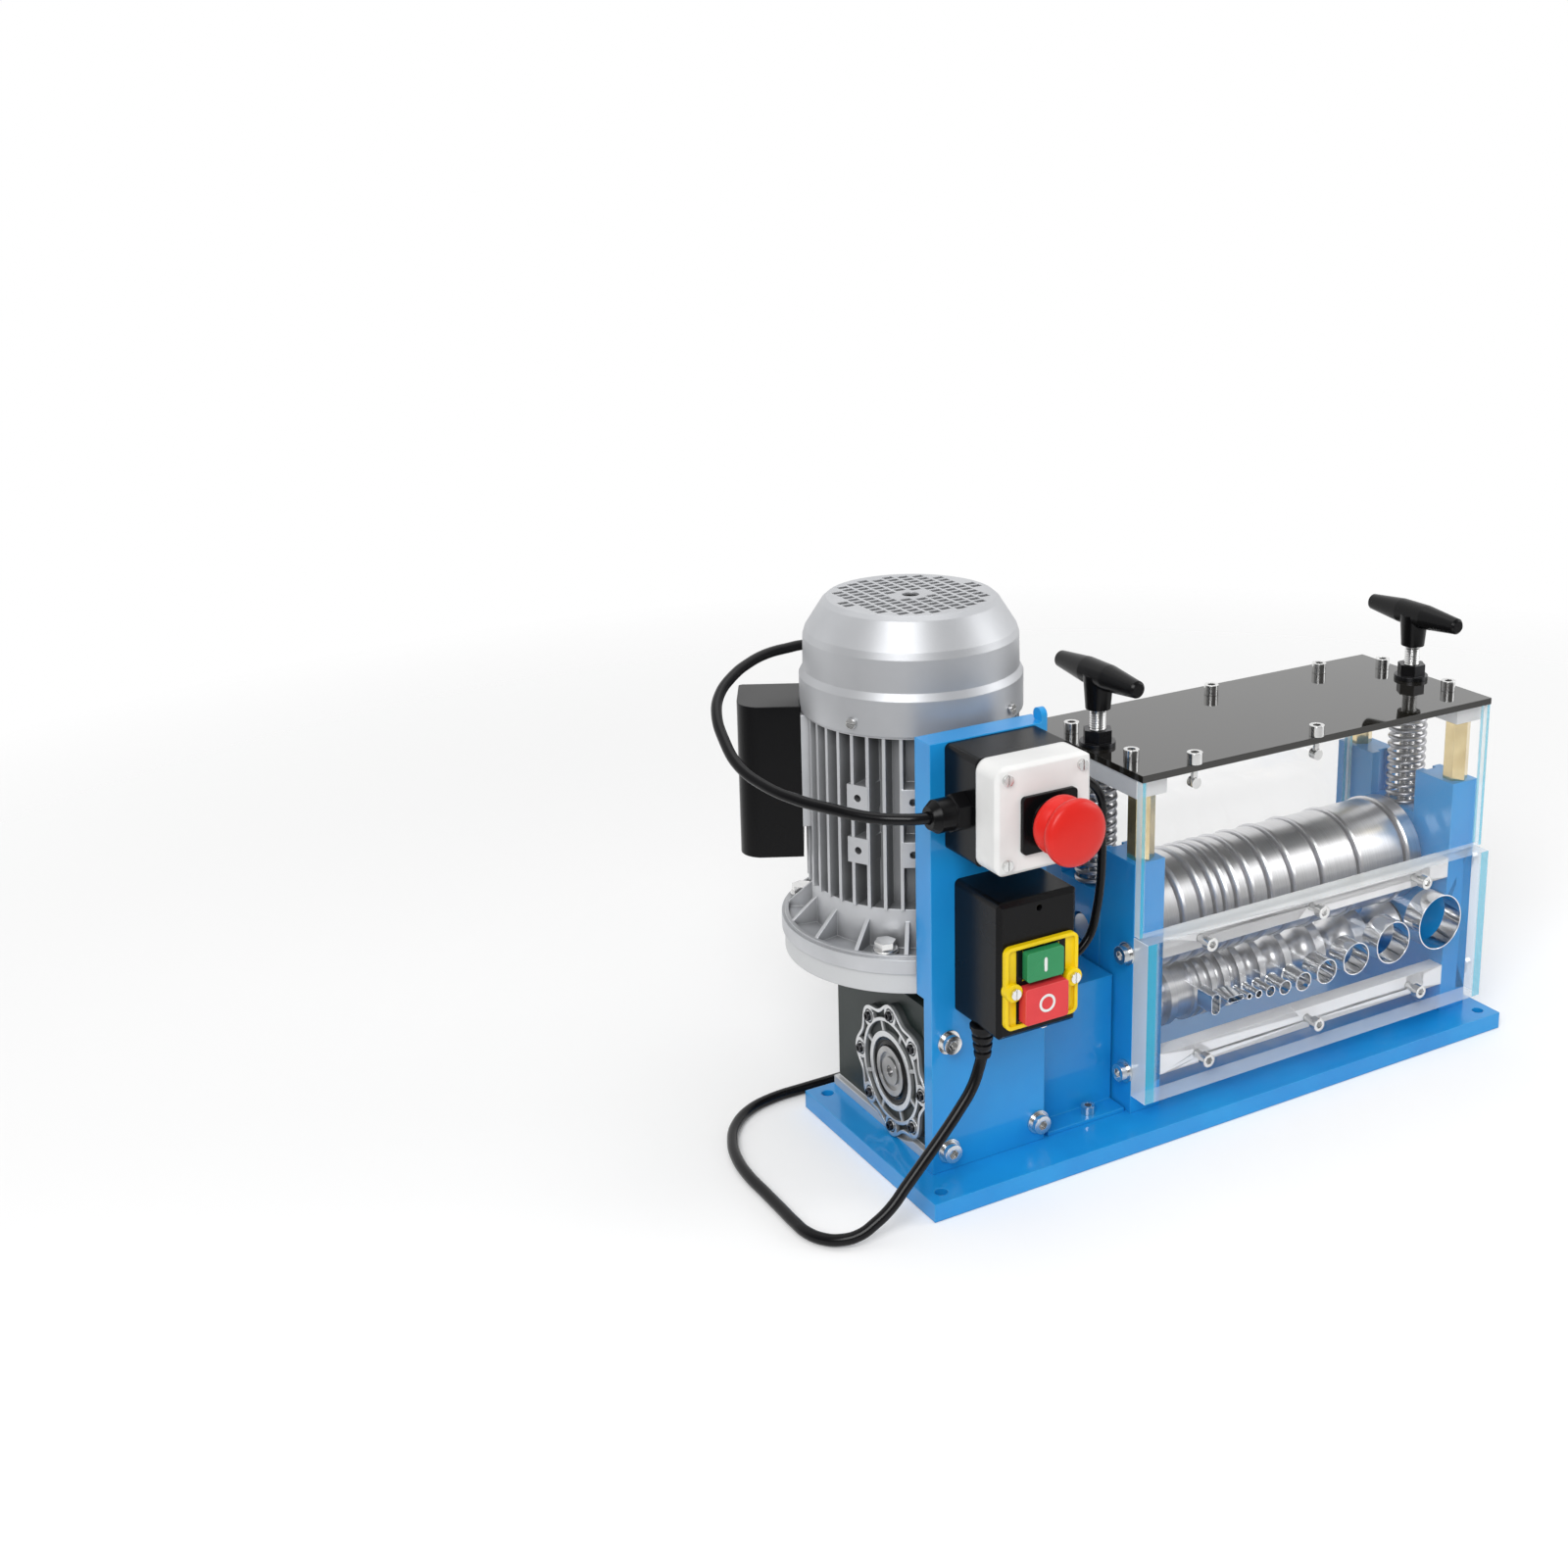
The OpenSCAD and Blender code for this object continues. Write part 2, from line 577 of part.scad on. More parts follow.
cover_ring_r = roller_z - 8.5;
ear_n = 8;
ear_r = 7.5;
module gearbox_cover() color(alu) corner()
    translate([gear_l, roller_y, roller_z]) rotate([0, -90, 0]) difference() {
    union() {
        linear_extrude(3) lobed_ring(0);
        linear_extrude(7) difference() {
            lobed_ring(0);
            lobed_ring(2.4);
        }
        cylinder(r = seal_r + 4, h = 7);
        for (a = [0 : 360 / ear_n : 359]) rotate([0, 0, a]) {
            translate([cover_ring_r, 0, 0]) cylinder(r = 4, h = 7);
            rotate([0, 0, 180 / ear_n]) translate([seal_r + 2, -1.3, 0])
                cube([cover_ring_r - seal_r - 7, 2.6, 6]);
        }
    }
    translate([0, 0, -1]) cylinder(r = seal_r, h = 9);
    for (a = [0 : 360 / ear_n : 359]) rotate([0, 0, a])
        translate([cover_ring_r, 0, 4]) cylinder(r = 2.4, h = 4);
}
seal_r = 24;

// Round outline with an ear at each bolt, drawn in by d
module lobed_ring(d) {
    circle(cover_ring_r - 4 - d);
    for (a = [0 : 360 / ear_n : 359]) rotate(a) translate([cover_ring_r, 0]) circle(ear_r - d);
}

// Lower end shield: flange, skirt and ribs in one casting
module motor_flange() color(alu) corner() difference() {
    union() {
        zcyl(flange_r, input_top, motor_z - 2, gear_x, worm_y);
        zcyl(flange_r - 2, input_top + 1, motor_z, gear_x, worm_y);
        zcyl(skirt_r, motor_z - eps, fin_z, gear_x, worm_y);
        for (a = rib_a) translate([gear_x, worm_y, 0]) rotate([0, 0, a]) gusset();
    }
    zcyl(bore_r, motor_z + 8, fin_z + 1, gear_x, worm_y);
    ring_pocket();
    zcyl(9 + fit, input_top - 1, motor_z + 9, gear_x, worm_y);
    for (a = flange_bolt_a) translate([gear_x, worm_y, 0]) rotate([0, 0, a])
        zcyl(4.2, input_top - 1, motor_z + 1, flange_bolt_r, 0);
}

// Shallow pocket in the flange between its rim and the skirt, under the ribs
module ring_pocket() difference() {
    zcyl(flange_r - 5, motor_z - 3, motor_z + 1, gear_x, worm_y);
    zcyl(skirt_r, motor_z - 4, motor_z + 2, gear_x, worm_y);
    for (a = rib_a) translate([gear_x, worm_y, 0]) rotate([0, 0, a])
        box([skirt_r - 1, -1.5, motor_z - 4], [flange_r, 1.5, motor_z + 2]);
    for (a = flange_bolt_a) translate([gear_x, worm_y, 0]) rotate([0, 0, a])
        zcyl(9, motor_z - 4, motor_z + 2, flange_bolt_r, 0);
}

// Finned body: a round core with radial fins, bored pads, seats for two boxes and a plain upper end shield
fin_n = 40;
fin_z = motor_z + 25;
cover_wall = 1.8;
shield_r = motor_r - cover_wall;
skirt_r = shield_r - 4;
module motor_body() color(alu) corner() translate([gear_x, worm_y, 0]) difference() {
    union() {
        translate([0, 0, fin_z]) linear_extrude(shield_z - fin_z + eps) {
            circle(core_r);
            for (a = [0 : 360 / fin_n : 359]) rotate(a)
                translate([core_r - 2, -1.2]) square([shield_r - core_r + 1, 2.4]);
        }
        translate([0, 0, shield_z]) cylinder(r = shield_r, h = shield_top - shield_z);
        for (a = pad_a, z = pad_z) rotate([0, 0, a]) translate([core_r - 2, -8, z - 9])
            cube([shield_r - core_r + 1, 16, 18]);
        for (a = [90, 180 - case_a]) rotate([0, 0, a]) translate([core_r - 2, -20, 215])
            cube([seat_r - core_r + 2, 40, cover_skirt - 216]);
    }
    translate([0, 0, fin_z - 1]) cylinder(r = bore_r, h = shield_z - fin_z + 9);
    translate([0, 0, shield_z]) cylinder(r = 9 + fit, h = shield_top);
    for (a = pad_a, z = pad_z) rotate([0, 0, a]) translate([shield_r - 9, 0, z])
        rotate([0, 90, 0]) cylinder(r = 2.6, h = 20);
    for (a = fan_screw_a) rotate([0, 0, a]) translate([shield_r - 10, 0, shield_top - 7])
        rotate([0, 90, 0]) cylinder(r = 1.95, h = 20);
}
pad_a = [30, 60, 210, 240, 300, 330];
pad_z = [213, 250];
seat_r = shield_r + 1;

// Triangular rib between the lower end shield and the flange
module gusset() translate([skirt_r - 1, 1.5, motor_z]) rotate([90, 0, 0]) linear_extrude(3)
    polygon([[0, 0], [flange_r - skirt_r - 3, 0], [0, 17]]);

module stator() color([0.45, 0.30, 0.20]) corner() translate([gear_x, worm_y, 0]) difference() {
    union() {
        translate([0, 0, motor_z + 22]) cylinder(r = bore_r, h = 92);
        translate([0, 0, motor_z + 14]) cylinder(r = bore_r - 6, h = 108);
    }
    translate([0, 0, motor_z]) cylinder(r = 33, h = 140);
}

// Thin fan cover with rows of slots in its top
cover_skirt = shield_top - 14;
module fan_cover() color(alu) corner() translate([gear_x, worm_y, 0]) difference() {
    rotate_extrude() cover_profile(0);
    rotate_extrude() cover_profile(cover_wall);
    for (p = grille) translate([p[0] - 3.9, p[1] - 2.7, motor_top - 6]) cube([7.8, 5.4, 8]);
    translate([0, 0, motor_top - 6]) cylinder(r = 6, h = 8);
    for (a = fan_screw_a) rotate([0, 0, a]) translate([motor_r - 5, 0, shield_top - 7])
        rotate([0, 90, 0]) cylinder(r = 1.95, h = 10);
}
module cover_profile(w) polygon([
    [0, w > 0 ? cover_skirt - 6 : cover_skirt], [motor_r - w, w > 0 ? cover_skirt - 6 : cover_skirt],
    [motor_r - w, motor_top - 53], [motor_r - 2.6 - w, motor_top - 48], [motor_r - 3 - w, motor_top - 26],
    [motor_r - 4.6 - w, motor_top - 21], [motor_r - 16 - w, motor_top - 3 - w],
    [motor_r - 19.5 - w, motor_top - w], [0, motor_top - w]]);

// Middles of the slots in the fan cover's top, in staggered columns
grille = [for (c = [-5 : 5], r = [-7 : 7])
    let (p = [c * 10, (r + 0.5 * (abs(c) % 2)) * 7.4])
    if (norm(p) < motor_r - 26 && norm(p) > 12) p];

// Box behind the motor where its winding ends meet the lead
module terminal_box() color(black) corner() difference() {
    zbox(gear_x - 30, worm_y + seat_r, 60, 34, terminal_z[0], terminal_z[1], 4);
    zbox(gear_x - 27.5, worm_y + seat_r + 2.5, 55, 29, terminal_z[0] + 3, terminal_z[1] - 3, 2);
    zcyl(lead_d / 2 + 0.4, terminal_z[1] - 5, terminal_z[1] + 1, lead_route[0][0], lead_route[0][1]);
}

case_x = -53;
case_y = 125;
case_d = 55;
case_z = [190, 299];
case_a = 28;
// Drawn square to the axes at the motor's left, then turned round the motor's axis to stand behind it
module capacitor_case() color(black) corner() translate([gear_x, worm_y, 0]) rotate([0, 0, -case_a])
    translate([-gear_x, -worm_y, 0]) difference() {
    union() {
        zbox(case_x, case_y, gear_x - seat_r - case_x, case_d, case_z[0], case_z[1], 16);
        zbox(case_x, case_y + 20, gear_x - seat_r - case_x, case_d - 20, case_z[0], case_z[1], 3);
        box([gear_x - seat_r - 20, case_y, case_z[0]], [gear_x - seat_r, case_y + case_d, case_z[1]]);
    }
    zbox(case_x + 3, case_y + 3, gear_x - seat_r - 6 - case_x, case_d - 6, case_z[0] + 3, case_z[1] - 3, 13);
    zcyl(motor_r + play, cover_skirt - 1, case_z[1] + 1, gear_x, worm_y);
}

module motor_lead() color(black) corner() tube(lead_route, lead_d / 2, 10);

// Gland with a hexagon and a round nose, seat at the origin, nose along +Z
module gland() difference() {
    union() {
        cylinder(r = 13, h = 10, $fn = 6);
        translate([0, 0, 10 - eps]) cylinder(r = 11, h = 11);
        translate([0, 0, 21 - eps]) cylinder(r1 = 11, r2 = 7.5, h = 5);
    }
    translate([0, 0, -1]) cylinder(r = lead_d / 2 + 0.4, h = 30);
}
module lead_glands() color(black) corner() {
    translate([lead_route[0][0], lead_route[0][1], terminal_z[1]]) gland();
    translate([estop_x, lead_y, lead_z]) rotate([0, -90, 0]) gland();
    strain_relief();
}

// Controls

module estop_base() color(black) corner() difference() {
    ybox(estop_x, estop_z, estop_w, estop_w, estop_split, bracket_y, 4);
    ybox(estop_x + 3, estop_z + 3, estop_w - 6, estop_w - 6, estop_split - 1, bracket_y - 3, 3);
    xcyl(lead_d / 2 + 0.4, estop_x - 1, estop_x + 4, lead_y, lead_z);
}

module estop_cover() color([0.93, 0.93, 0.92]) corner() difference() {
    soft_box(estop_x, estop_z, estop_w, estop_w, estop_front, estop_split, 8, 2.5);
    difference() {
        ybox(estop_x + 3, estop_z + 3, estop_w - 6, estop_w - 6, estop_front + 3, estop_split + 1, 4);
        for (x = [estop_screw_in, estop_w - estop_screw_in], z = [estop_screw_in, estop_w - estop_screw_in])
            ycyl(5.7, estop_front, estop_split + 1, estop_x + x, estop_z + z);
    }
    ycyl(stem_r + 1, estop_front - 1, estop_front + 5, knob_x, knob_z);
    for (x = [estop_screw_in, estop_w - estop_screw_in], z = [estop_screw_in, estop_w - estop_screw_in])
        ycyl(2, estop_front - 1, estop_front + 9, estop_x + x, estop_z + z);
}

stem_r = 8;
recess_r = mushroom_r - 6;
collar_front = estop_front - 9.5;
head_back = estop_front - 4 - estop_travel;
head_seat = head_back - 7;
module estop_collar() color(black) corner() difference() {
    union() {
        ybox(knob_x - 22, knob_z - 19, 41, 38, estop_front - 3, estop_front, 3);
        ycyl(recess_r - 1, collar_front, estop_front - 3 + eps, knob_x, knob_z);
    }
    ycyl(stem_r + play, collar_front - 1, estop_front + 1, knob_x, knob_z);
}

module estop_stem() color(black) corner() {
    ycyl(stem_r, head_seat + play, estop_front + 14, knob_x, knob_z);
    ycyl(5, head_seat - 7, head_seat + play + eps, knob_x, knob_z);
}

// Mushroom head, turned about Y, with a waist for the fingers and a hollow back over the collar
module estop_head() color([0.85, 0.10, 0.08]) corner() difference() {
    translate([knob_x, head_back, knob_z]) rotate([90, 0, 0]) rotate_extrude() polygon([
        [0, 7], [recess_r, 7], [recess_r, 0], [mushroom_r - 3.5, 0], [mushroom_r - 2.5, 1.5],
        [mushroom_r - 2.5, 4], [mushroom_r - 4.5, 8], [mushroom_r - 5.5, 10], [mushroom_r - 4, 12.5],
        [mushroom_r - 1, 15], [mushroom_r, 17.5], [mushroom_r, 19.5], [mushroom_r - 1.5, 22],
        [mushroom_r - 6, 24], [mushroom_r - 12, 25], [0, 25.5]]);
    ycyl(5 + fit, head_seat - 7 - play, head_seat + 1, knob_x, knob_z);
}

module switch_box() color(black) corner() difference() {
    soft_box(switch_x, switch_z, switch_w, switch_h, switch_front, bracket_y, 4, 3);
    ycyl(2.2, switch_front - 1, switch_front + 4, button_x, switch_z + switch_h - 8);
    ybox(switch_x + 3, switch_z + 3, switch_w - 6, switch_h - 6, switch_front + 3, bracket_y - 3, 3);
    box([button_x - 20, switch_front - 1, stop_z - 15], [button_x + 20, switch_front + 4, start_z + 13]);
    zcyl(cord_d / 2 + 0.4, switch_z - 1, switch_z + 4, cord_x, cord_y);
    for (x = lug_x) ycyl(2, switch_front - 1, switch_front + 4, x, lug_z);
}

// Plate with a raised rim and two lugs for its screws
rim_t = 2.5;
lug_h = 3;
module switch_plate() color([0.95, 0.80, 0.05]) corner() difference() {
    union() {
        difference() {
            ybox(button_x - 28, switch_z + 8, 56, 57, plate_front, switch_front, 5);
            ybox(button_x - 28 + rim_t, switch_z + 8 + rim_t, 56 - 2 * rim_t, 57 - 2 * rim_t,
                plate_front - 1, switch_front - 2, 5 - rim_t);
        }
        for (x = lug_x) ycyl(6, plate_front - lug_h, switch_front, x, lug_z);
    }
    button_cut(start_z, start_size + [1, 1]);
    button_cut(stop_z, stop_size + [1, 1]);
    for (x = lug_x) ycyl(2, plate_front - lug_h - 1, switch_front + 1, x, lug_z);
}
module button_cut(z, s)
    ybox(button_x - s[0] / 2, z - s[1] / 2, s[0], s[1], plate_front - 1, switch_front + 1, 2.5);

// Push button with a wider foot that stops it behind the plate
module button(z, s, front) {
    ybox(button_x - s[0] / 2, z - s[1] / 2, s[0], s[1], plate_front - front, switch_front + 3, 2);
    ybox(button_x - s[0] / 2 - 1.5, z - s[1] / 2 + 2, s[0] + 3, s[1] - 4,
        switch_front + play, switch_front + 3, 1);
}
module start_button() color([0.10, 0.50, 0.28]) corner() button(start_z, start_size, 4);
module stop_button() color([0.85, 0.10, 0.08]) corner() button(stop_z, stop_size, 6);

module switch_lead() color(black) corner() tube(switch_route, 3, 8);

// Tapered strain relief where the mains cord leaves the switch box
relief_h = 12;
module strain_relief() translate([cord_x, cord_y, switch_z - relief_h]) difference() {
    cylinder(r1 = cord_d / 2 + 1.6, r2 = cord_d / 2 + 3.5, h = relief_h);
    translate([0, 0, -1]) cylinder(r = cord_d / 2 + 0.4, h = relief_h + 2);
}

// Mains cord

module power_cord() color(black) corner() tube(cord_route, cord_d / 2, 10);

// Coil of two layers: the loops spiral in, climb one layer in half a turn and spiral out again
function ramp(t) = t < coil_turns / 2 - 0.25 ? 0 : t > coil_turns / 2 + 0.25 ? 1
    : (1 - cos(180 * (t - coil_turns / 2 + 0.25) / 0.5)) / 2;
function coil_at(t) = let (r = coil_r - coil_step * min(t, coil_turns - t), a = 360 * t - 90)
    [coil_c[0] + r * cos(a), coil_c[1] + r * sin(a), floor_z + coil_step * ramp(t)];
coil_path = concat([[coil_c[0] - cord_d, coil_at(0)[1], floor_z]],
    [for (i = [0 : 24 * coil_turns]) coil_at(i / 24)],
    [[coil_c[0] - cord_d, coil_at(coil_turns)[1], floor_z + coil_step]]);
module cord_coil() color(black) corner() tube(coil_path, cord_d / 2, 6);

// Band round the bundle of turns on the coil's left side
tie_in = 2.25 * coil_step;
module cord_tie() color([0.2, 0.2, 0.2]) corner()
    translate([coil_c[0] + coil_r - tie_in - cord_d / 2 - 2.5, coil_c[1] - 4, -base_t]) rotate([90, 0, 180])
        mirror([1, 0, 0]) linear_extrude(8) difference() {
            square([tie_in + cord_d + 6, 2 * coil_step + cord_d - 6]);
            translate([1.5, -1]) square([tie_in + cord_d + 3, 2 * coil_step + cord_d - 6.5]);
        }

plug_x = coil_c[0] - cord_d;
plug_y = coil_at(coil_turns)[1];
plug_z = floor_z + coil_step;
module plug() color(black) corner() {
    xcyl(cord_d / 2 + 1.5, plug_x - 18, plug_x, plug_y, plug_z);
    xcyl(12, plug_x - 46, plug_x - 18 + eps, plug_y, plug_z);
    for (y = [-7, 7]) xcyl(2.4, plug_x - 65, plug_x - 46 + eps, plug_y + y, plug_z);
}

// Moving drive pieces

// Wheel with a ringed hub end that shows at the left and a stub shaft to the coupling
coupling_x0 = gear_r + 10;
coupling_x1 = plate_xl - 12;
coupling_mid = (coupling_x0 + coupling_x1) / 2;
module worm_wheel() color([0.75, 0.60, 0.30]) corner() difference() {
    union() {
        xcyl(wheel_hub_r, gear_l - 7.5, gear_r + 4, roller_y, roller_z);
        xcyl(wheel_r, gear_x - 11, gear_x + 11, roller_y, roller_z);
        xcyl(journal_r, gear_r, coupling_x0 + 20, roller_y, roller_z);
    }
    difference() {
        xcyl(wheel_hub_r - 4, gear_l - 9, gear_l - 5.5, roller_y, roller_z);
        xcyl(journal_r, gear_l - 10, gear_l - 5, roller_y, roller_z);
    }
    xcyl(4, gear_l - 9, gear_l - 4, roller_y, roller_z);
}

module drive_coupling() color(steel) corner() difference() {
    xcyl(26, coupling_x0, coupling_x1, roller_y, roller_z);
    xcyl(journal_r, coupling_x0 - 1, coupling_x1 + 1, roller_y, roller_z);
    for (a = [0, 120, 240]) translate([0, roller_y, roller_z]) rotate([a, 0, 0])
        box([coupling_mid - 4, -5, journal_r + 3], [coupling_mid + 4, 5, 30]);
}

// Ring groove in the feed roller
module groove(x, r, c) translate([x, roller_y, roller_z]) rotate([0, 90, 0]) rotate_extrude()
    translate([c, 0]) circle(r);
module lower_roller() color(steel) corner() {
    difference() {
        xcyl(lower_r, roll_l, roll_r, roller_y, roller_z);
        for (i = [0 : hole_n - 1]) groove(hole_x(i), hole_d(i) / 2, hole_z(i) - roller_z);
        slot_groove(flat_x, flat_w, 3);
        slot_groove(tall_x, tall_w, 6);
    }
    xcyl(journal_r, coupling_x1 - 20, plate_xr - 2, roller_y, roller_z);
}
module slot_groove(x, w, deep) difference() {
    xcyl(lower_r + 1, x - w / 2, x + w / 2, roller_y, roller_z);
    xcyl(lower_r - deep, x - w, x + w, roller_y, roller_z);
}

// Rotor with its shaft and the worm at its lower end
module rotor() color(steel) corner() translate([gear_x, worm_y, 0]) {
    translate([0, 0, motor_z + 22]) cylinder(r = 32.5, h = 92);
    translate([0, 0, 8]) cylinder(r = 9, h = fan_z + fan_h - 2);
    translate([0, 0, roller_z - 30]) cylinder(r = worm_r, h = 60);
}

fan_z = shield_top + 8;
fan_h = 26;
module fan() color(black) corner() translate([gear_x, worm_y, fan_z]) difference() {
    union() {
        cylinder(r = 16, h = fan_h);
        cylinder(r = motor_r - 16, h = 2.5);
        for (a = [0 : 45 : 315]) rotate([0, 0, a]) translate([12, -1.2, 0]) cube([motor_r - 30, 2.4, fan_h - 2]);
    }
    translate([0, 0, -1]) cylinder(r = 9, h = fan_h + 2);
}

// Blade carriage

// Bearing block that slides in the fork, with tongues, a bearing seat and a slot for the jack screw's head
head_r = 8.5;
head_z = block_hi - 11;
module bearing_block() difference() {
    union() {
        box([0, roller_y - slot_w / 2 + play, block_lo], [plate_t, roller_y + slot_w / 2 - play, block_hi]);
        box([plate_t / 2 - 5 + play, roller_y - slot_w / 2 - 4 + play, block_lo],
            [plate_t / 2 + 5 - play, roller_y + slot_w / 2 + 4 - play, block_hi]);
    }
    xcyl(journal_r + 2, -1, plate_t + 1, roller_y, upper_z);
    xcyl(bearing_r, plate_t - bearing_w, plate_t + 1, roller_y, upper_z);
    zcyl(head_r + play, head_z - play, block_hi - 5, plate_t / 2, roller_y);
    box([plate_t / 2, roller_y - head_r - play, head_z - play],
        [plate_t + 1, roller_y + head_r + play, block_hi - 5]);
    zcyl(screw_r + play, block_hi - 6, block_hi + 1, plate_t / 2, roller_y);
    box([plate_t / 2, roller_y - screw_r - play, block_hi - 6],
        [plate_t + 1, roller_y + screw_r + play, block_hi + 1]);
}
module left_bearing_block() color(blue) corner() translate([plate_xl, 0, 0]) bearing_block();
module right_bearing_block() color(blue) corner()
    translate([plate_xr, 2 * roller_y, 0]) rotate([0, 0, 180]) bearing_block();
module upper_bearings() color(steel) corner() {
    bearing(inner_l - bearing_w, upper_z);
    bearing(inner_r, upper_z);
}

// Spacer ring between two blades, with stepped chamfers at both ends, pushed on the shaft's core
blade_core = 20;
module bead(x0, x1) translate([x0, roller_y, upper_z]) rotate([0, 90, 0])
    rotate_extrude() bead_profile(x1 - x0, min(3, (x1 - x0) * 0.35));
module bead_profile(w, c) polygon([[blade_core + fit, 0], [bead_r - 4, 0], [bead_r - 1.4, c * 0.45],
    [bead_r, c], [bead_r, w - c], [bead_r - 1.4, w - c * 0.45], [bead_r - 4, w], [blade_core + fit, w]]);
bead_edges = concat([roll_l - blade_t / 2], channels, [roll_r + blade_t / 2]);
module blade_shaft() color(steel) corner() {
    for (i = [0 : len(bead_edges) - 2])
        bead(bead_edges[i] + blade_t / 2 + fit, bead_edges[i + 1] - blade_t / 2 - fit);
    xcyl(blade_core, roll_l, roll_r, roller_y, upper_z);
    xcyl(journal_r, plate_xl + 2, roll_l + eps, roller_y, upper_z);
    xcyl(journal_r, roll_r - eps, plate_xr - 2, roller_y, upper_z);
}
module stripping_blades() color([0.35, 0.35, 0.37]) corner() for (x = channels)
    translate([x - blade_t / 2, roller_y, upper_z]) rotate([0, 90, 0]) rotate_extrude() polygon([
        [blade_core, 0], [blade_r - 1.2, 0], [blade_r, blade_t / 2],
        [blade_r - 1.2, blade_t], [blade_core, blade_t]]);

// Jack screws: the head turns in the bearing block, the thread runs in the bridge
module jack_screw(x) {
    zcyl(head_r, head_z, block_hi - 5 - play, x, roller_y);
    zcyl(screw_r, block_hi - 6, handle_z - 8, x, roller_y);
}
module left_screw() color(steel) corner() jack_screw(jack_xl);
module right_screw() color(steel) corner() jack_screw(jack_xr);

// Tapered cross bar on a hub
bar_half = 47;
module tee_handle(x) translate([x, roller_y, handle_z]) difference() {
    union() {
        translate([0, bar_half, 0]) rotate([90, 0, 0]) rotate_extrude() polygon([
            [0, 0], [4.5, 0], [6.2, 1.7], [9.6, bar_half - 13], [9.6, bar_half + 13],
            [6.2, 2 * bar_half - 1.7], [4.5, 2 * bar_half], [0, 2 * bar_half]]);
        translate([0, 0, -25]) cylinder(r1 = 9, r2 = 11, h = 25);
    }
    translate([0, 0, -26]) cylinder(r = screw_r, h = 18);
}
module left_handle() color(black) corner() tee_handle(jack_xl);
module right_handle() color(black) corner() tee_handle(jack_xr);

// Compression spring between the bearing block and the bridge
spring_lo = block_hi + 0.4 + spring_wire / 2;
spring_hi = bridge_z - 0.4 - spring_wire / 2;
function spring_at(t) = [spring_r * cos(360 * t), spring_r * sin(360 * t),
    spring_lo + (spring_hi - spring_lo) * min(1, max(0, (t - 0.5) / (spring_turns - 1)))];
spring_path = concat([spring_at(0) + [0, -spring_wire, 0]],
    [for (i = [0 : 8 * spring_turns]) spring_at(i / 8)],
    [spring_at(spring_turns) + [0, spring_wire, 0]]);
module spring(x) translate([x, roller_y, 0]) tube(spring_path, spring_wire / 2, 6);
module left_spring() color(steel) corner() spring(jack_xl);
module right_spring() color(steel) corner() spring(jack_xr);

echo(spring_self_gap = self_gap(spring_path, 8, spring_wire));
echo(coil_self_gap = self_gap(coil_path, 24, cord_d));

base_plate();
drive_bracket();
coupling_guard();
left_side_plate();
right_side_plate();
end_bridges();
brass_posts();
top_cover();
top_cover_screws();
front_sheet();
rear_sheet();
barrel_nuts();
feed_block();
feed_sleeves();
tie_bars();
lower_bearings();
thread_nuts();
m8_bolts();
m6_screws();
small_screws();
gearbox_housing();
gearbox_cover();
motor_flange();
motor_body();
stator();
fan_cover();
terminal_box();
capacitor_case();
motor_lead();
lead_glands();
estop_base();
estop_cover();
estop_collar();
switch_box();
switch_plate();
switch_lead();
power_cord();
cord_coil();
cord_tie();
plug();
worm_wheel();
drive_coupling();
lower_roller();
rotor();
fan();
left_bearing_block();
right_bearing_block();
upper_bearings();
blade_shaft();
stripping_blades();
left_screw();
left_handle();
right_screw();
right_handle();
left_spring();
right_spring();
estop_stem();
estop_head();
start_button();
stop_button();
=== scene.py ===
from math import copysign, cos, pi, radians, sin
import bpy
from mathutils import Matrix, Vector


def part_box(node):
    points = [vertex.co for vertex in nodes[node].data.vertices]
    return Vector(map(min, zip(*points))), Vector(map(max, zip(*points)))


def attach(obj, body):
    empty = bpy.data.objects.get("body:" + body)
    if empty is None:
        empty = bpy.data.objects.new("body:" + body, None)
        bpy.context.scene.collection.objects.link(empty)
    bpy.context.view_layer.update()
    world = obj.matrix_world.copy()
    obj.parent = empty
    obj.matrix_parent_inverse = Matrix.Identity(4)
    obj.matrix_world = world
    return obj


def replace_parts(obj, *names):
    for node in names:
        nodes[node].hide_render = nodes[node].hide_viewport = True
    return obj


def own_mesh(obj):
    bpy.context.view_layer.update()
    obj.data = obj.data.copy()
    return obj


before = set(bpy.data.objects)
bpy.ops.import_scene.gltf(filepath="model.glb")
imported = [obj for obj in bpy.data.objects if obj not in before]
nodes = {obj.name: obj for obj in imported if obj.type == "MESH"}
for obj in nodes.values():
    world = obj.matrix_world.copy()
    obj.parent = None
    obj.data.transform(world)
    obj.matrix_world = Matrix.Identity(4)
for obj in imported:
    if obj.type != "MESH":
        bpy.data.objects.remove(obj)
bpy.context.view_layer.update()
scene = bpy.context.scene

# the frame's origin, in millimetres from the base's front left top corner
baseCorner = {"left": 260, "front": 91, "under": 13}


def spot(x, y, z):  # from millimetres at that corner to metres in the frame
    return Vector((x - baseCorner["left"], y - baseCorner["front"], z + baseCorner["under"])) / 1000


cameraSet = {
    "place": (-0.8590, -1.0883, 0.7231),
    "right": (0.8438, -0.5367, -0.0006),
    "down": (-0.1373, -0.2147, -0.9670),
    "ahead": (0.5188, 0.8160, -0.2548),
    "lens": 45.9,
    "shift": (-0.125, -0.1125),
    "clip": (0.05, 60),
}


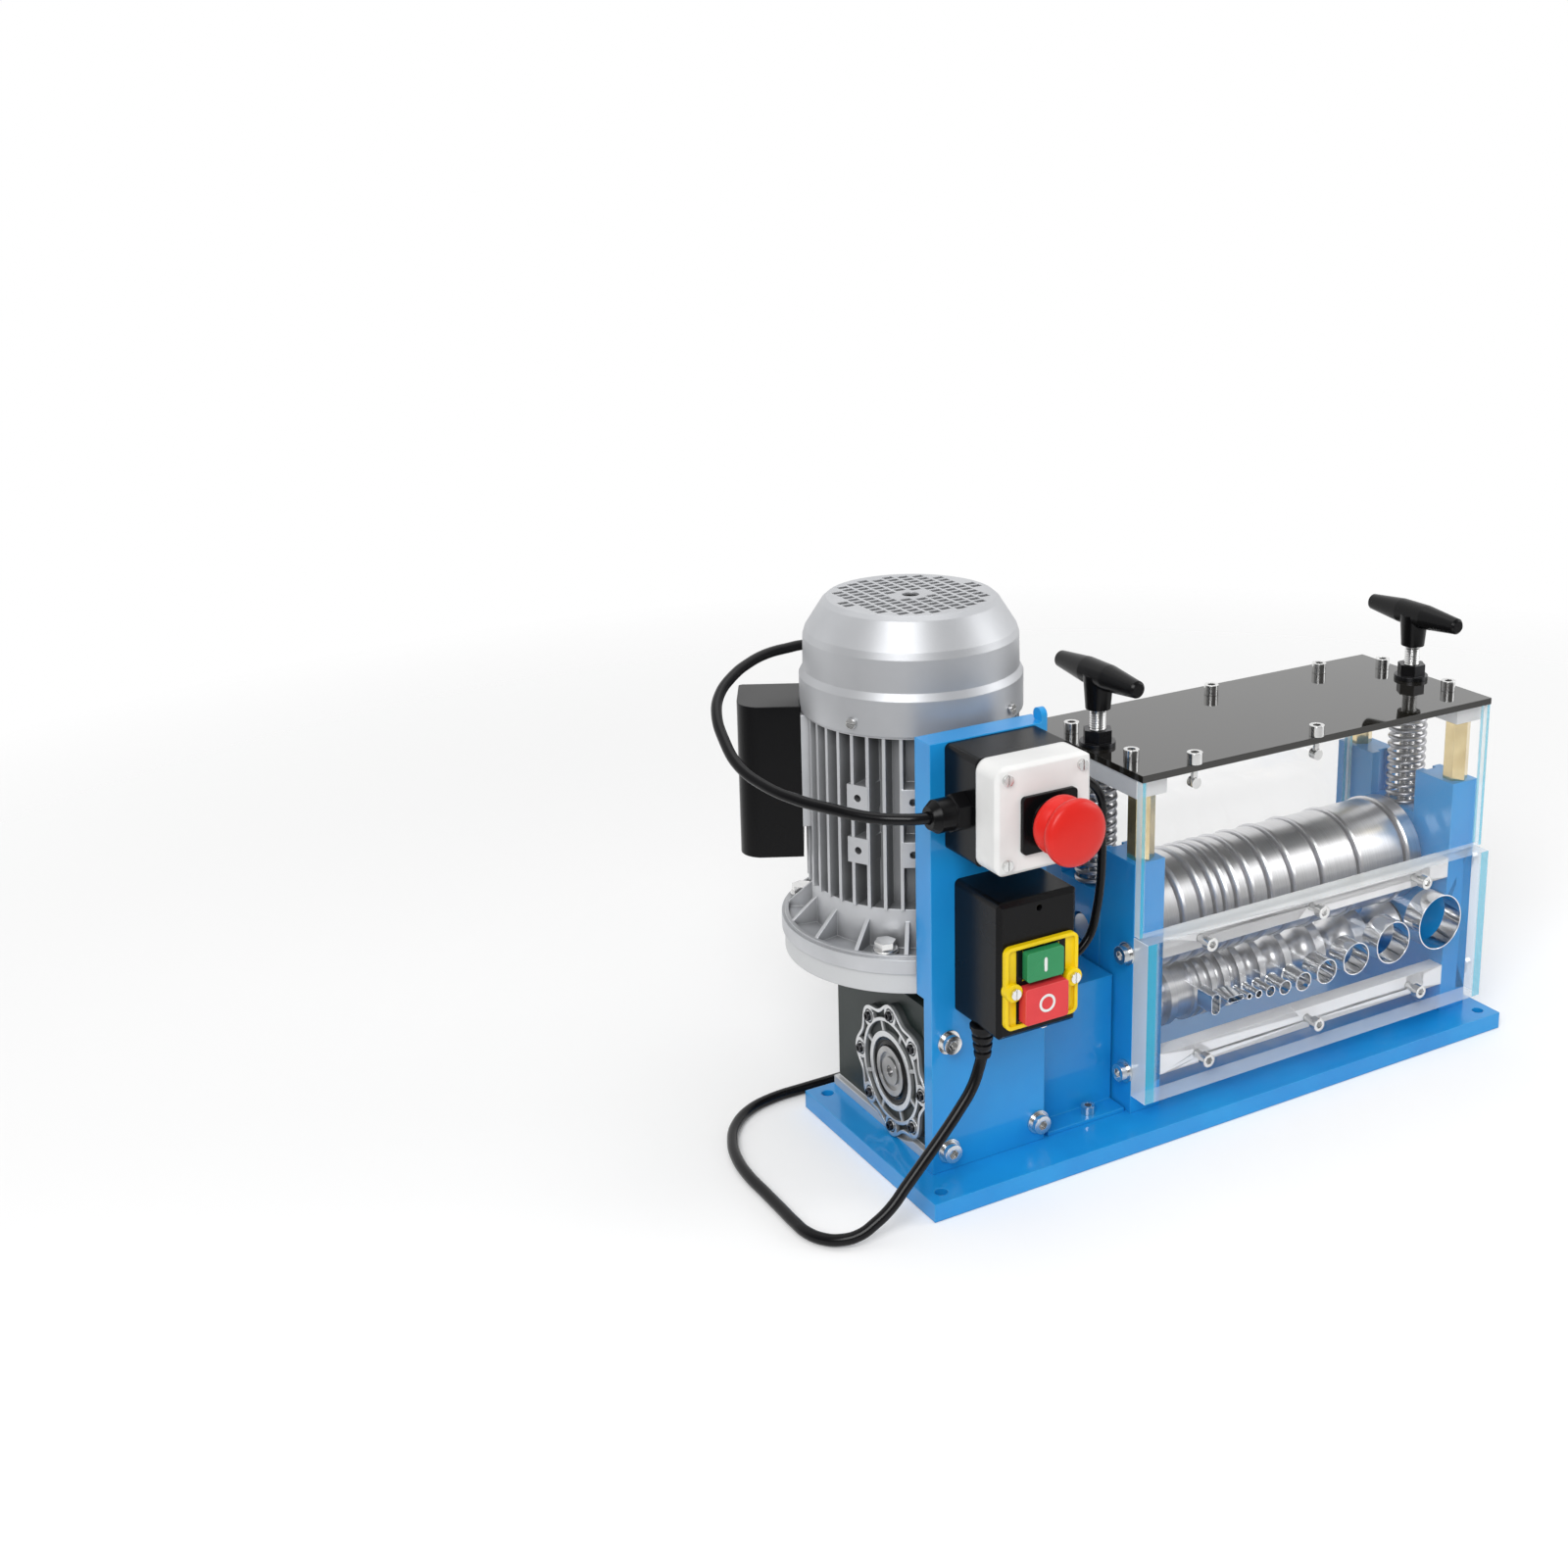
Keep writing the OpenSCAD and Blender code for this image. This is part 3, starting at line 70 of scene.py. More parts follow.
def setCamera(s):
    data = bpy.data.cameras.new("photoView")
    data.lens = s["lens"]
    data.shift_x, data.shift_y = s["shift"]
    data.clip_start, data.clip_end = s["clip"]
    view = bpy.data.objects.new("photoView", data)
    scene.collection.objects.link(view)
    side, up, back = Vector(s["right"]), -Vector(s["down"]), -Vector(s["ahead"])
    view.rotation_mode = "QUATERNION"
    view.rotation_quaternion = Matrix((side, up, back)).transposed().to_quaternion()
    view.location = s["place"]
    scene.camera = view


setCamera(cameraSet)
print("camera set")


class Signal:  # a socket that adds Math nodes when it is used in an expression
    def __init__(self, board, socket):
        self.board = board
        self.socket = socket

    def work(self, operation, first, second=0.0):
        return self.board.add("ShaderNodeMath", {"operation": operation}, {0: first, 1: second})

    def __add__(self, other):
        return self.work("ADD", self, other)

    def __radd__(self, other):
        return self.work("ADD", other, self)

    def __sub__(self, other):
        return self.work("SUBTRACT", self, other)

    def __rsub__(self, other):
        return self.work("SUBTRACT", other, self)

    def __mul__(self, other):
        return self.work("MULTIPLY", self, other)

    def __rmul__(self, other):
        return self.work("MULTIPLY", other, self)

    def __pow__(self, other):
        return self.work("POWER", self, other)

    def __rpow__(self, other):
        return self.work("POWER", other, self)

    def __abs__(self):
        return self.work("ABSOLUTE", self)

    def larger(self, other):
        return self.work("MAXIMUM", self, other)


def colour(value):
    return value if isinstance(value, Signal) else (*value, 1.0)


class Board:  # a node tree that is filled by expressions
    def __init__(self, tree):
        self.tree = tree
        tree.nodes.clear()

    def add(self, kind, settings=None, inputs=None, output=0):
        node = self.tree.nodes.new(kind)
        for key, value in (settings or {}).items():
            setattr(node, key, value)
        for key, value in (inputs or {}).items():
            self.feed(node.inputs[key], value)
        return Signal(self, node.outputs[output]) if node.outputs else None

    def feed(self, socket, value):
        if isinstance(value, Signal):
            self.tree.links.new(value.socket, socket)
        else:
            socket.default_value = value

    def place(self, name):
        where = self.add("ShaderNodeTexCoord", output="Object")
        return self.add("ShaderNodeSeparateXYZ", {}, {0: where}, name)

    def span(self, value, low, high, start=0.0, end=1.0):
        return self.add("ShaderNodeMapRange", {},
                        {"Value": value, "From Min": low, "From Max": high, "To Min": start, "To Max": end})

    def tint(self, share, first, second):
        return self.add("ShaderNodeMix", {"data_type": "RGBA"},
                        {0: share, 6: colour(first), 7: colour(second)}, 2)

    def blotch(self, noise, first, second, low=0.3, high=0.7):  # two tints in soft patches
        return self.tint(self.span(noise, low, high), first, second)

    def rays(self):
        kinds = ("Camera", "Glossy", "Transmission")
        return [self.add("ShaderNodeLightPath", output="Is %s Ray" % kind) for kind in kinds]


class Finish(Board):  # one procedural material on a Principled shader
    def __init__(self, name, **fixed):
        self.material = bpy.data.materials.new(name)
        self.material.use_nodes = True
        super().__init__(self.material.node_tree)
        self.shader = self.tree.nodes.new("ShaderNodeBsdfPrincipled")
        out = self.tree.nodes.new("ShaderNodeOutputMaterial")
        self.tree.links.new(self.shader.outputs[0], out.inputs["Surface"])
        for socket, value in fixed.items():
            self.shader.inputs[socket.replace("_", " ").title().replace("Ior", "IOR")].default_value = value

    def give(self, **sockets):  # what varies over the surface
        for socket, value in sockets.items():
            self.feed(self.shader.inputs[socket.replace("_", " ").title()], value)
        return self.material

    def grain(self, scale, detail=3.0, stretch=(1, 1, 1)):
        where = self.add("ShaderNodeTexCoord", output="Object")
        pulled = self.add("ShaderNodeMapping", {}, {"Vector": where, "Scale": stretch})
        return self.add("ShaderNodeTexNoise", {}, {"Vector": pulled, "Scale": scale, "Detail": detail})

    def facing(self, name):
        normal = self.add("ShaderNodeNewGeometry", output="Normal")
        return self.add("ShaderNodeSeparateXYZ", {}, {0: normal}, name)

    def edge(self, radius):  # rounded normal, and a mask that is 1 along sharp edges
        rounded = self.add("ShaderNodeBevel", {"samples": 6}, {"Radius": radius})
        true = self.add("ShaderNodeNewGeometry", output="Normal")
        along = self.add("ShaderNodeVectorMath", {"operation": "DOT_PRODUCT"}, {0: rounded, 1: true}, "Value")
        return rounded, self.span(1 - along, 0.01, 0.22)

    def bump(self, height, depth, normal=None, strength=1.0):
        inputs = {"Strength": strength, "Distance": depth, "Height": height}
        if normal is not None:
            inputs["Normal"] = normal
        return self.add("ShaderNodeBump", {}, inputs)


paintSet = {"fresh": (0.012, 0.310, 0.710), "thick": (0.009, 0.245, 0.640), "edge": (0.06, 0.42, 0.80)}


def bluePaint(s):
    f = Finish("bluePaint", coat_roughness=0.05, specular_ior_level=0.3)
    rounded, edge = f.edge(0.0012)
    cloud = f.grain(14, 4)
    peel = f.grain(620, 2)
    body = f.blotch(cloud, s["fresh"], s["thick"])
    # edges painted a lighter blue: partly wear, partly painted highlight
    return f.give(base_color=f.tint(edge * 0.6, body, s["edge"]), roughness=0.24 + 0.14 * cloud,
                  coat_weight=0.3 + 0.15 * cloud, normal=f.bump(peel, 0.00006, rounded, 0.35))


def castMetal(name, bright, dull, rough, depth, shine=0.85, recessShade=1.0):  # recessShade dims the painted shade in what lies deep
    f = Finish(name)
    rounded, edge = f.edge(0.0009)
    cloud = f.grain(22, 4)
    sand = f.grain(1100, 3)
    openness = f.add("ShaderNodeAmbientOcclusion", {"samples": 8}, {"Distance": 0.014}, "AO")
    # painted shade: where ambient occlusion finds a recess, the colour turns to the dull tone times
    # recessShade
    body = f.tint(f.span(openness, 0.30, 0.80), [c * recessShade for c in dull], f.blotch(cloud, bright, dull))
    # edges painted brighter: partly wear, partly painted highlight
    return f.give(base_color=f.tint(edge * 0.5, body, [min(1, c * 1.25) for c in bright]),
                  metallic=shine + 0.05 * cloud, roughness=rough + 0.16 * cloud - 0.1 * edge,
                  normal=f.bump(sand, depth, rounded, 0.5))


caseSet = {"body": (0.014, 0.024, 0.022), "wearAndSheen": (0.06, 0.075, 0.073), "flange": (0.62, 0.63, 0.64),
           "flangeLow": 121, "footTop": 7}


def gearCase(s):  # dark painted body between a bare flange above and a bare foot below
    f = Finish("gearCase")
    rounded, edge = f.edge(0.0012)
    cloud = f.grain(20, 4)
    z = f.place("Z")
    low, high = spot(0, 0, s["footTop"])[2], spot(0, 0, s["flangeLow"])[2]
    bare = f.span(z, low + 0.0006, low + 0.0002) + f.span(z, high - 0.0004, high)
    coat = f.blotch(cloud, s["body"], [c * 0.8 for c in s["body"]])
    # edges painted lighter: partly wear, partly painted highlight
    body = f.tint(edge * 0.7, coat, s["wearAndSheen"])
    return f.give(base_color=f.tint(bare, body, s["flange"]), metallic=0.1 + 0.4 * bare,
                  roughness=0.40 + 0.14 * cloud, normal=f.bump(f.grain(900, 3), 0.00014, rounded, 0.5))


lobeSet = {"raised": (0.74, 0.75, 0.76), "pocket": (0.055, 0.062, 0.062), "face": 20, "floor": 24}


def lobedCover(s):  # machined ridges over cast pockets, whose shade is painted dark
    f = Finish("lobedCover")
    rounded = f.edge(0.0007)[0]
    cloud = f.grain(40, 3)
    deep = f.span(f.place("X"), spot(s["face"], 0, 0)[0] + 0.0004, spot(s["floor"], 0, 0)[0] - 0.001)
    ridge = f.blotch(cloud, s["raised"], [c * 0.88 for c in s["raised"]])
    # painted shade: the pockets, found by depth, take a dark colour
    return f.give(base_color=f.tint(deep, ridge, s["pocket"]), metallic=0.85 - 0.5 * deep,
                  roughness=0.24 + 0.1 * cloud + 0.25 * deep,
                  normal=f.bump(f.grain(900, 3), 0.00008, rounded, 0.4))


def turnedSteel(name, bright, dull, rough, lines=(2600, 1, 1)):
    f = Finish(name)
    rounded, edge = f.edge(0.0005)
    ring = f.grain(1.0, 2, lines)
    cloud = f.grain(30, 3)
    return f.give(base_color=f.blotch(ring, bright, dull, 0.35, 0.65), metallic=0.96 + 0.04 * cloud,
                  roughness=rough + 0.12 * ring - 0.05 * edge, normal=f.bump(ring, 0.00004, rounded, 0.5))


def smoothMetal(name, bright, dull, rough):
    f = Finish(name)
    rounded = f.edge(0.0005)[0]
    cloud = f.grain(60, 4)
    return f.give(base_color=f.blotch(cloud, bright, dull), metallic=0.97 + 0.03 * cloud,
                  roughness=rough + 0.1 * cloud, normal=f.bump(f.grain(900, 2), 0.00002, rounded, 0.3))


def mouldedPlastic(name, main, wearAndSheen, rough, depth, radius=0.0010, gloss=0.4):
    f = Finish(name, specular_ior_level=gloss)
    rounded, edge = f.edge(radius)
    cloud = f.grain(25, 3)
    skin = f.grain(1400, 2)
    body = f.blotch(cloud, main, [c * 0.88 for c in main])
    # edges painted lighter: partly wear, partly painted highlight
    return f.give(base_color=f.tint(edge * 0.6, body, wearAndSheen), roughness=rough + 0.12 * cloud,
                  normal=f.bump(skin, depth, rounded, 0.4))


clearSet = {"pale": (0.93, 0.97, 0.98), "cyan": (0.05, 0.50, 0.68), "strip": 0.62, "end": 0.66, "top": 0.40,
            "stripDensity": 0.60, "sheen": 0.50}


def clearSheet(name, node, s):  # the faces are nearly unseen, and the cut ends show through their margins as a painted reflection
    f = Finish(name, roughness=0.03, specular_ior_level=0.5)
    low, high = (Vector(c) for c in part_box(node))
    middle, half = (low + high) / 2, (high - low) / 2

    def near(value, reach):  # 1 on the last fraction of a millimetre
        return f.span(value, reach - 0.0006, reach - 0.0002)

    across = f.facing("Y")
    broad = f.span(across * across, 0.6, 0.9)
    outward = abs(f.place("X") - middle[0])
    end = (1 - broad) * near(outward, half[0])
    top = (1 - broad) * near(abs(f.place("Z") - middle[2]), half[2])
    wide = 2 * half[1] * s["strip"]  # how far in the end is seen through the front
    # painted reflection: a cyan band on the front face near each end stands for the cut end seen through the
    # sheet
    strip = f.span(across, -0.6, -0.9) * f.span(outward, half[0] - wide, half[0] - wide * 0.7)
    turned = f.add("ShaderNodeLayerWeight", {}, {"Blend": 0.5}, "Facing")
    glint = 0.04 + 0.96 * turned ** 5
    haze = f.grain(35, 3)
    return f.give(base_color=f.tint(strip, f.tint(broad, s["pale"], (1, 1, 1)), s["cyan"]),
                  metallic=broad * (1 - strip),
                  alpha=0.010 + 0.010 * haze + broad * glint * s["sheen"] + end * s["end"] + top * s["top"]
                  + strip * s["stripDensity"])


def rubberSheath():
    f = Finish("rubberSheath", specular_ior_level=0.20)
    skin = f.grain(500, 3)
    cloud = f.grain(40, 3)
    return f.give(base_color=f.tint(cloud, (0.0035, 0.0035, 0.004), (0.007, 0.007, 0.008)),
                  roughness=0.16 + 0.10 * cloud, normal=f.bump(skin, 0.00003, None, 0.3))


def coverSheet():  # black gloss sheet that shows the pale room in its top
    f = Finish("coverSheet", specular_ior_level=0.62, coat_roughness=0.02)
    rounded = f.edge(0.0006)[0]
    cloud = f.grain(12, 3)
    return f.give(base_color=f.blotch(cloud, (0.014, 0.013, 0.010), (0.010, 0.009, 0.007)),
                  roughness=0.03 + 0.03 * cloud, coat_weight=0.25 + 0.1 * cloud,
                  normal=f.bump(f.grain(700, 2), 0.000006, rounded, 0.2))


paint = bluePaint(paintSet)
# the last number given to castMetal sets how dark the painted shade in recesses is
motorSilver = castMetal("motorSilver", (0.60, 0.61, 0.63), (0.50, 0.51, 0.53), 0.36, 0.00012, 0.55, 0.45)
coverSilver = castMetal("coverSilver", (0.56, 0.57, 0.59), (0.50, 0.51, 0.53), 0.38, 0.00005, 0.60, 0.20)
barAlu = castMetal("barAlu", (0.90, 0.90, 0.90), (0.86, 0.86, 0.87), 0.40, 0.00003, 0.08)
bridgeAlu = castMetal("bridgeAlu", (0.80, 0.81, 0.82), (0.74, 0.75, 0.76), 0.34, 0.00003, 0.30)
rollSteel = turnedSteel("rollSteel", (0.78, 0.78, 0.79), (0.60, 0.60, 0.61), 0.26)
bladeSteel = turnedSteel("bladeSteel", (0.78, 0.78, 0.80), (0.60, 0.60, 0.62), 0.26)
springSteel = turnedSteel("springSteel", (0.46, 0.46, 0.48), (0.34, 0.34, 0.36), 0.26, (1, 1, 900))
boltZinc = smoothMetal("boltZinc", (0.80, 0.80, 0.79), (0.66, 0.66, 0.66), 0.14)
darkOxide = smoothMetal("darkOxide", (0.060, 0.060, 0.064), (0.036, 0.036, 0.040), 0.24)
sleeveChrome = smoothMetal("sleeveChrome", (0.88, 0.89, 0.90), (0.80, 0.81, 0.82), 0.03)
postBrass = smoothMetal("postBrass", (0.80, 0.66, 0.38), (0.66, 0.52, 0.27), 0.14)
boxBlack = mouldedPlastic("boxBlack", (0.0045, 0.0045, 0.005), (0.018, 0.018, 0.020), 0.20, 0.00005,
                          gloss=0.15)
gripBlack = mouldedPlastic("gripBlack", (0.0040, 0.0040, 0.0045), (0.012, 0.012, 0.013), 0.20, 0.00003,
                           gloss=0.20)
caseWhite = mouldedPlastic("caseWhite", (0.84, 0.84, 0.83), (0.88, 0.88, 0.87), 0.34, 0.00004, 0.0020)
knobRed = mouldedPlastic("knobRed", (0.70, 0.020, 0.014), (0.80, 0.05, 0.035), 0.26, 0.00003, gloss=0.3)
keyRed = mouldedPlastic("keyRed", (0.74, 0.050, 0.055), (0.86, 0.20, 0.18), 0.20, 0.00003, gloss=0.3)
keyGreen = mouldedPlastic("keyGreen", (0.030, 0.280, 0.105), (0.10, 0.44, 0.22), 0.20, 0.00003, gloss=0.3)
plateYellow = mouldedPlastic("plateYellow", (0.92, 0.66, 0.004), (0.95, 0.74, 0.03), 0.26, 0.00004, gloss=0.3)
markWhite = mouldedPlastic("markWhite", (0.86, 0.88, 0.86), (0.90, 0.90, 0.90), 0.40, 0.00002)
copperWire = turnedSteel("copperWire", (0.55, 0.24, 0.10), (0.36, 0.14, 0.05), 0.35, (1, 1, 1800))
hubSteel = smoothMetal("hubSteel", (0.52, 0.52, 0.52), (0.40, 0.40, 0.40), 0.24)
feedClear = clearSheet("feedClear", "feed_block", clearSet)
frontClear = clearSheet("frontClear", "front_sheet", clearSet)
rearClear = clearSheet("rearClear", "rear_sheet", clearSet)
cover = coverSheet()
rubber = rubberSheath()
gearPaint = gearCase(caseSet)
lobes = lobedCover(lobeSet)
print("finishes made:", len(bpy.data.materials))

finishOf = {
    paint: "base_plate drive_bracket coupling_guard left_side_plate right_side_plate left_bearing_block"
           " right_bearing_block",
    motorSilver: "motor_body motor_flange",
    coverSilver: "fan_cover",
    gearPaint: "gearbox_housing",
    lobes: "gearbox_cover",
    barAlu: "tie_bars",
    bridgeAlu: "end_bridges",
    rollSteel: "lower_roller blade_shaft rotor drive_coupling left_screw right_screw",
    springSteel: "left_spring right_spring",
    bladeSteel: "stripping_blades",
    boltZinc: "top_cover_screws barrel_nuts m8_bolts m6_screws small_screws lower_bearings upper_bearings",
    darkOxide: "thread_nuts",
    sleeveChrome: "feed_sleeves",
    postBrass: "brass_posts",
    boxBlack: "terminal_box capacitor_case lead_glands estop_base estop_collar switch_box plug fan estop_stem"
              " cord_tie",
    gripBlack: "left_handle right_handle",
    caseWhite: "estop_cover",
    knobRed: "estop_head",
    keyRed: "stop_button",
    keyGreen: "start_button",
    plateYellow: "switch_plate",
    copperWire: "stator",
    hubSteel: "worm_wheel",
    feedClear: "feed_block",
    frontClear: "front_sheet",
    rearClear: "rear_sheet",
    cover: "top_cover",
    rubber: "motor_lead switch_lead power_cord cord_coil",
}
for finish, names in finishOf.items():
    for name in names.split():
        nodes[name].data.materials.clear()
        nodes[name].data.materials.append(finish)
print("frame dressed")

cordSet = {
    "radius": 4.0, "floor": -9, "coilMiddle": (200, 258), "coilRadius": 57, "pitch": 8.8, "turns": 4.5,
    "steps": 24,
    "route": [
        (42, 8, 107), (42, 8, 96), (39, 8, 84), (33, 7, 72), (22, 6, 59), (8, 4, 46), (-8, 2, 32),
        (-21, 1, 20), (-33, 0, 9), (-44, 1, 1), (-55, 3, -5), (-66, 9, -8), (-74, 18, -9),
        (-79, 30, -9), (-80, 44, -9), (-80, 64, -9), (-80, 88, -9), (-80, 112, -9), (-77, 136, -9),
        (-70, 158, -9), (-58, 178, -9), (-40, 193, -9), (-18, 200, -9), (8, 201, -9), (40, 201, -9),
        (72, 201, -9), (104, 201, -9), (136, 201, -9), (166, 201, -9), (192, 201, -9)],
}
leadSet = {
    "radius": 3.75,
    "route": [
        (62, 228, 268), (62, 228, 279), (62, 228, 289), (60, 228, 300), (54, 228, 310), (44, 227, 318),
        (31, 225, 322), (14, 221, 323), (-4, 216, 323), (-22, 208, 321), (-40, 197, 317), (-56, 184, 310),
        (-66, 168, 302), (-71, 147, 291), (-72, 123, 280), (-66, 99, 273), (-56, 75, 269), (-42, 51, 267),
        (-27, 31, 265), (-12, 17, 265), (0, 11, 265), (10, 10, 265), (20, 10, 265)],
}
linkSet = {
    "radius": 3.0,
    "route": [
        (101, 14, 272), (109, 14, 272), (117, 14, 271), (124, 14, 268), (130, 13, 263), (135, 13, 257),
        (138, 12, 250), (139, 12, 242), (139, 12, 228), (139, 12, 210), (138, 12, 190), (135, 12, 171),
        (131, 12, 157), (126, 12, 150), (120, 12, 145), (113, 12, 142), (105, 12, 141), (97, 12, 141)],
}


def coilTurns(s):  # the loops spiral in, climb one layer and spiral out again
    points = []
    for i in range(int(s["steps"] * s["turns"]) + 1):
        t = i / s["steps"]
        r = s["coilRadius"] - s["pitch"] * min(t, s["turns"] - t)
        climb = min(1, max(0, (t - s["turns"] / 2 + 0.25) / 0.5))
        a = 2 * pi * t - pi / 2
        z = s["floor"] + s["pitch"] * (1 - cos(pi * climb)) / 2
        points.append((s["coilMiddle"][0] + r * cos(a), s["coilMiddle"][1] + r * sin(a), z))
    last = points[-1]
    return points + [(last[0] - 2 * s["radius"], last[1], last[2])]


def layCord(name, route, radius, *stoodFor):
    data = bpy.data.curves.new(name, "CURVE")
    data.dimensions = "3D"
    data.bevel_depth = radius / 1000
    data.bevel_resolution = 5
    data.resolution_u = 6
    data.use_fill_caps = True
    spline = data.splines.new("BEZIER")
    spline.bezier_points.add(len(route) - 1)
    for knot, point in zip(spline.bezier_points, route):
        knot.co = spot(*point)
        knot.handle_left_type = knot.handle_right_type = "AUTO"
    data.materials.append(rubber)
    piece = bpy.data.objects.new(name, data)
    scene.collection.objects.link(piece)
    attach(piece, "frame")
    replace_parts(piece, *stoodFor)
    return piece


mainsCord = layCord("mainsCord", cordSet["route"] + coilTurns(cordSet), cordSet["radius"],
                    "power_cord", "cord_coil")
spot(*cordSet["route"][0])
motorLead = layCord("motorLead", leadSet["route"], leadSet["radius"], "motor_lead")
spot(*leadSet["route"][0])
switchLink = layCord("switchLink", linkSet["route"], linkSet["radius"], "switch_lead")
spot(*linkSet["route"][0])
print("cords laid")


class Shape:  # gathers points and faces for one piece
    def __init__(self):
        self.points = []
        self.faces = []

    def put(self, points, faces):
        first = len(self.points)
        self.points += [tuple(p) for p in points]
        self.faces += [tuple(first + i for i in face) for face in faces]

    def loops(self, rings, closed=False):  # joins rings of equal count by four-sided faces
        count, n = len(rings), len(rings[0])
        faces = []
        for i in range(count if closed else count - 1):
            j = (i + 1) % count
            faces += [(i * n + k, i * n + (k + 1) % n, j * n + (k + 1) % n, j * n + k) for k in range(n)]
        if not closed:
            faces += [tuple(reversed(range(n))), tuple(range((count - 1) * n, count * n))]
        self.put([p for ring in rings for p in ring], faces)

    def turn(self, profile, place, along, steps=48, closed=False):  # radius and height, in millimetres
        along = Vector(along).normalized()
        side = along.orthogonal().normalized()
        other = along.cross(side)
        ring = [2 * pi * k / steps for k in range(steps)]
        self.loops([[place + (along * h + (side * cos(a) + other * sin(a)) * r) / 1000 for a in ring]
                    for r, h in profile], closed)

    def pull(self, path, radius, sides):  # a round tube along a path, in metres
        rings = []
        side = None
        for i, p in enumerate(path):
            ahead = (path[min(i + 1, len(path) - 1)] - path[max(i - 1, 0)]).normalized()
            side = ahead.orthogonal() if side is None else side - ahead * side.dot(ahead)
            side.normalize()
            other = ahead.cross(side)
            turns = [2 * pi * k / sides for k in range(sides)]
            rings.append([p + (side * cos(a) + other * sin(a)) * radius / 1000 for a in turns])
        self.loops(rings)

    def make(self, name, finish, body, sharp=40):
        mesh = bpy.data.meshes.new(name)
        mesh.from_pydata(self.points, [], self.faces)
        mesh.validate()
        mesh.polygons.foreach_set("use_smooth", [True] * len(mesh.polygons))
        mesh.set_sharp_from_angle(angle=radians(sharp))
        mesh.materials.append(finish)
        piece = bpy.data.objects.new(name, mesh)
        scene.collection.objects.link(piece)
        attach(piece, body)
        return piece


def smoothLine(points, steps=4):  # a curve through the points of a profile
    line = []
    for i in range(len(points) - 1):
        a, b = points[max(i - 1, 0)], points[i]
        c, d = points[i + 1], points[min(i + 2, len(points) - 1)]
        for k in range(steps):
            t = k / steps
            line.append(tuple(0.5 * (2 * q + (r - p) * t + (2 * p - 5 * q + 4 * r - s) * t * t
                                     + (3 * q - p - 3 * r + s) * t ** 3) for p, q, r, s in zip(a, b, c, d)))
    return line + [points[-1]]


jackSet = {"left": 192, "right": 495, "y": 92, "blockTop": 154, "bridge": 237, "lift": 26}
springSet = {"radius": 13.5, "wire": 1.75, "turns": 13, "seat": 0.4, "steps": 24, "sides": 10}


def coilSpring(name, x, node):
    s, j = springSet, jackSet
    low, high = j["blockTop"] + s["seat"] + s["wire"], j["bridge"] - s["seat"] - s["wire"]
    path = []
    for i in range(s["steps"] * s["turns"] + 1):
        t = i / s["steps"]
        rise = min(1, max(0, (t - 0.5) / (s["turns"] - 1)))
        path.append(spot(x + s["radius"] * cos(2 * pi * t), j["y"] + s["radius"] * sin(2 * pi * t),
                         low + (high - low) * rise))
    shape = Shape()
    shape.pull(path, s["wire"], s["sides"])
    piece = shape.make(name, springSteel, "frame")
    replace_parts(piece, node)
    spot(x, j["y"], j["bridge"])
    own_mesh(piece)


coilSpring("leftCoil", jackSet["left"], "left_spring")
coilSpring("rightCoil", jackSet["right"], "right_spring")
print("springs wound")

screwSet = {
    "outer": 6.0, "inner": 5.2, "pitch": 1.75, "steps": 24, "headLow": 143, "headTop": 148.7, "top": 300,
    "head": [(7.9, 0), (8.5, 0.6), (8.5, 5.1), (7.9, 5.7), (5.2, 5.7), (5.2, 8)],
}


def jackScrew(name, x, body, node):
    s = screwSet
    y = jackSet["y"]
    shape = Shape()
    shape.turn(s["head"], spot(x, y, s["headLow"]), (0, 0, 1))
    turns = int((s["top"] - s["headTop"] - 2) / s["pitch"])
    n = s["steps"]
    points, faces = [], []
    for row in range(2 * turns + 3):
        r = s["inner"] if row % 2 else s["outer"]
        for k in range(n):
            a = 2 * pi * k / n
            z = min(s["top"], s["headTop"] + s["pitch"] * (row / 2 + k / n - 0.5))
            points.append(spot(x + r * cos(a), y + r * sin(a), z))
    for row in range(2 * turns):
        for k in range(n):
            far = (row, k + 1) if k + 1 < n else (row + 2, 0)  # the last step meets the next turn
            faces.append((row * n + k, far[0] * n + far[1], (far[0] + 1) * n + far[1], (row + 1) * n + k))
    for row, order in ((0, -1), (2 * turns, 1)):  # closes both ends
        rim = [row * n + k for k in range(n)] + [(row + 2) * n, (row + 1) * n]
        faces.append(tuple(rim[::order]))
    shape.put(points, faces)
    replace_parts(shape.make(name, boltZinc, body, 70), node)


jackScrew("leftThread", jackSet["left"], "left_jack", "left_screw")
jackScrew("rightThread", jackSet["right"], "right_jack", "right_screw")
print("jack screws cut")

mushroomSet = {
    "x": 69, "z": 263, "back": -37,
    "outer": [(18.5, 0), (19.4, 1.2), (19.5, 4), (17.6, 7.8), (16.5, 10), (18.0, 12.6), (20.8, 15),
              (21.9, 17.2), (22.0, 19.4), (20.6, 22), (16.2, 24), (10, 25), (4, 25.4), (0.4, 25.5)],
    "hollow": [(0.4, 7), (15.5, 7), (16, 6.5), (16, 0.4), (16.4, 0)],
}


def mushroomHead(s):
    shape = Shape()
    shape.turn(s["hollow"] + smoothLine(s["outer"]), spot(s["x"], s["back"], s["z"]), (0, -1, 0), 72)
    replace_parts(shape.make("mushroom", knobRed, "estop_knob", 50), "estop_head")


mushroomHead(mushroomSet)

keySet = {
    "x": 67, "proud": 0.25, "bar": (1.2, 5.0), "ring": (6.2, 4.4), "room": 0.4,
    "start": {"z": 165, "face": -28, "half": (14, 10)},
    "stop": {"z": 139, "face": -30, "half": (16.5, 12.5)},
    "well": {"half": 18.8, "low": 124.6, "high": 177.4, "floor": -22, "rise": (0.02, 0.5), "seam": 0.01},
}


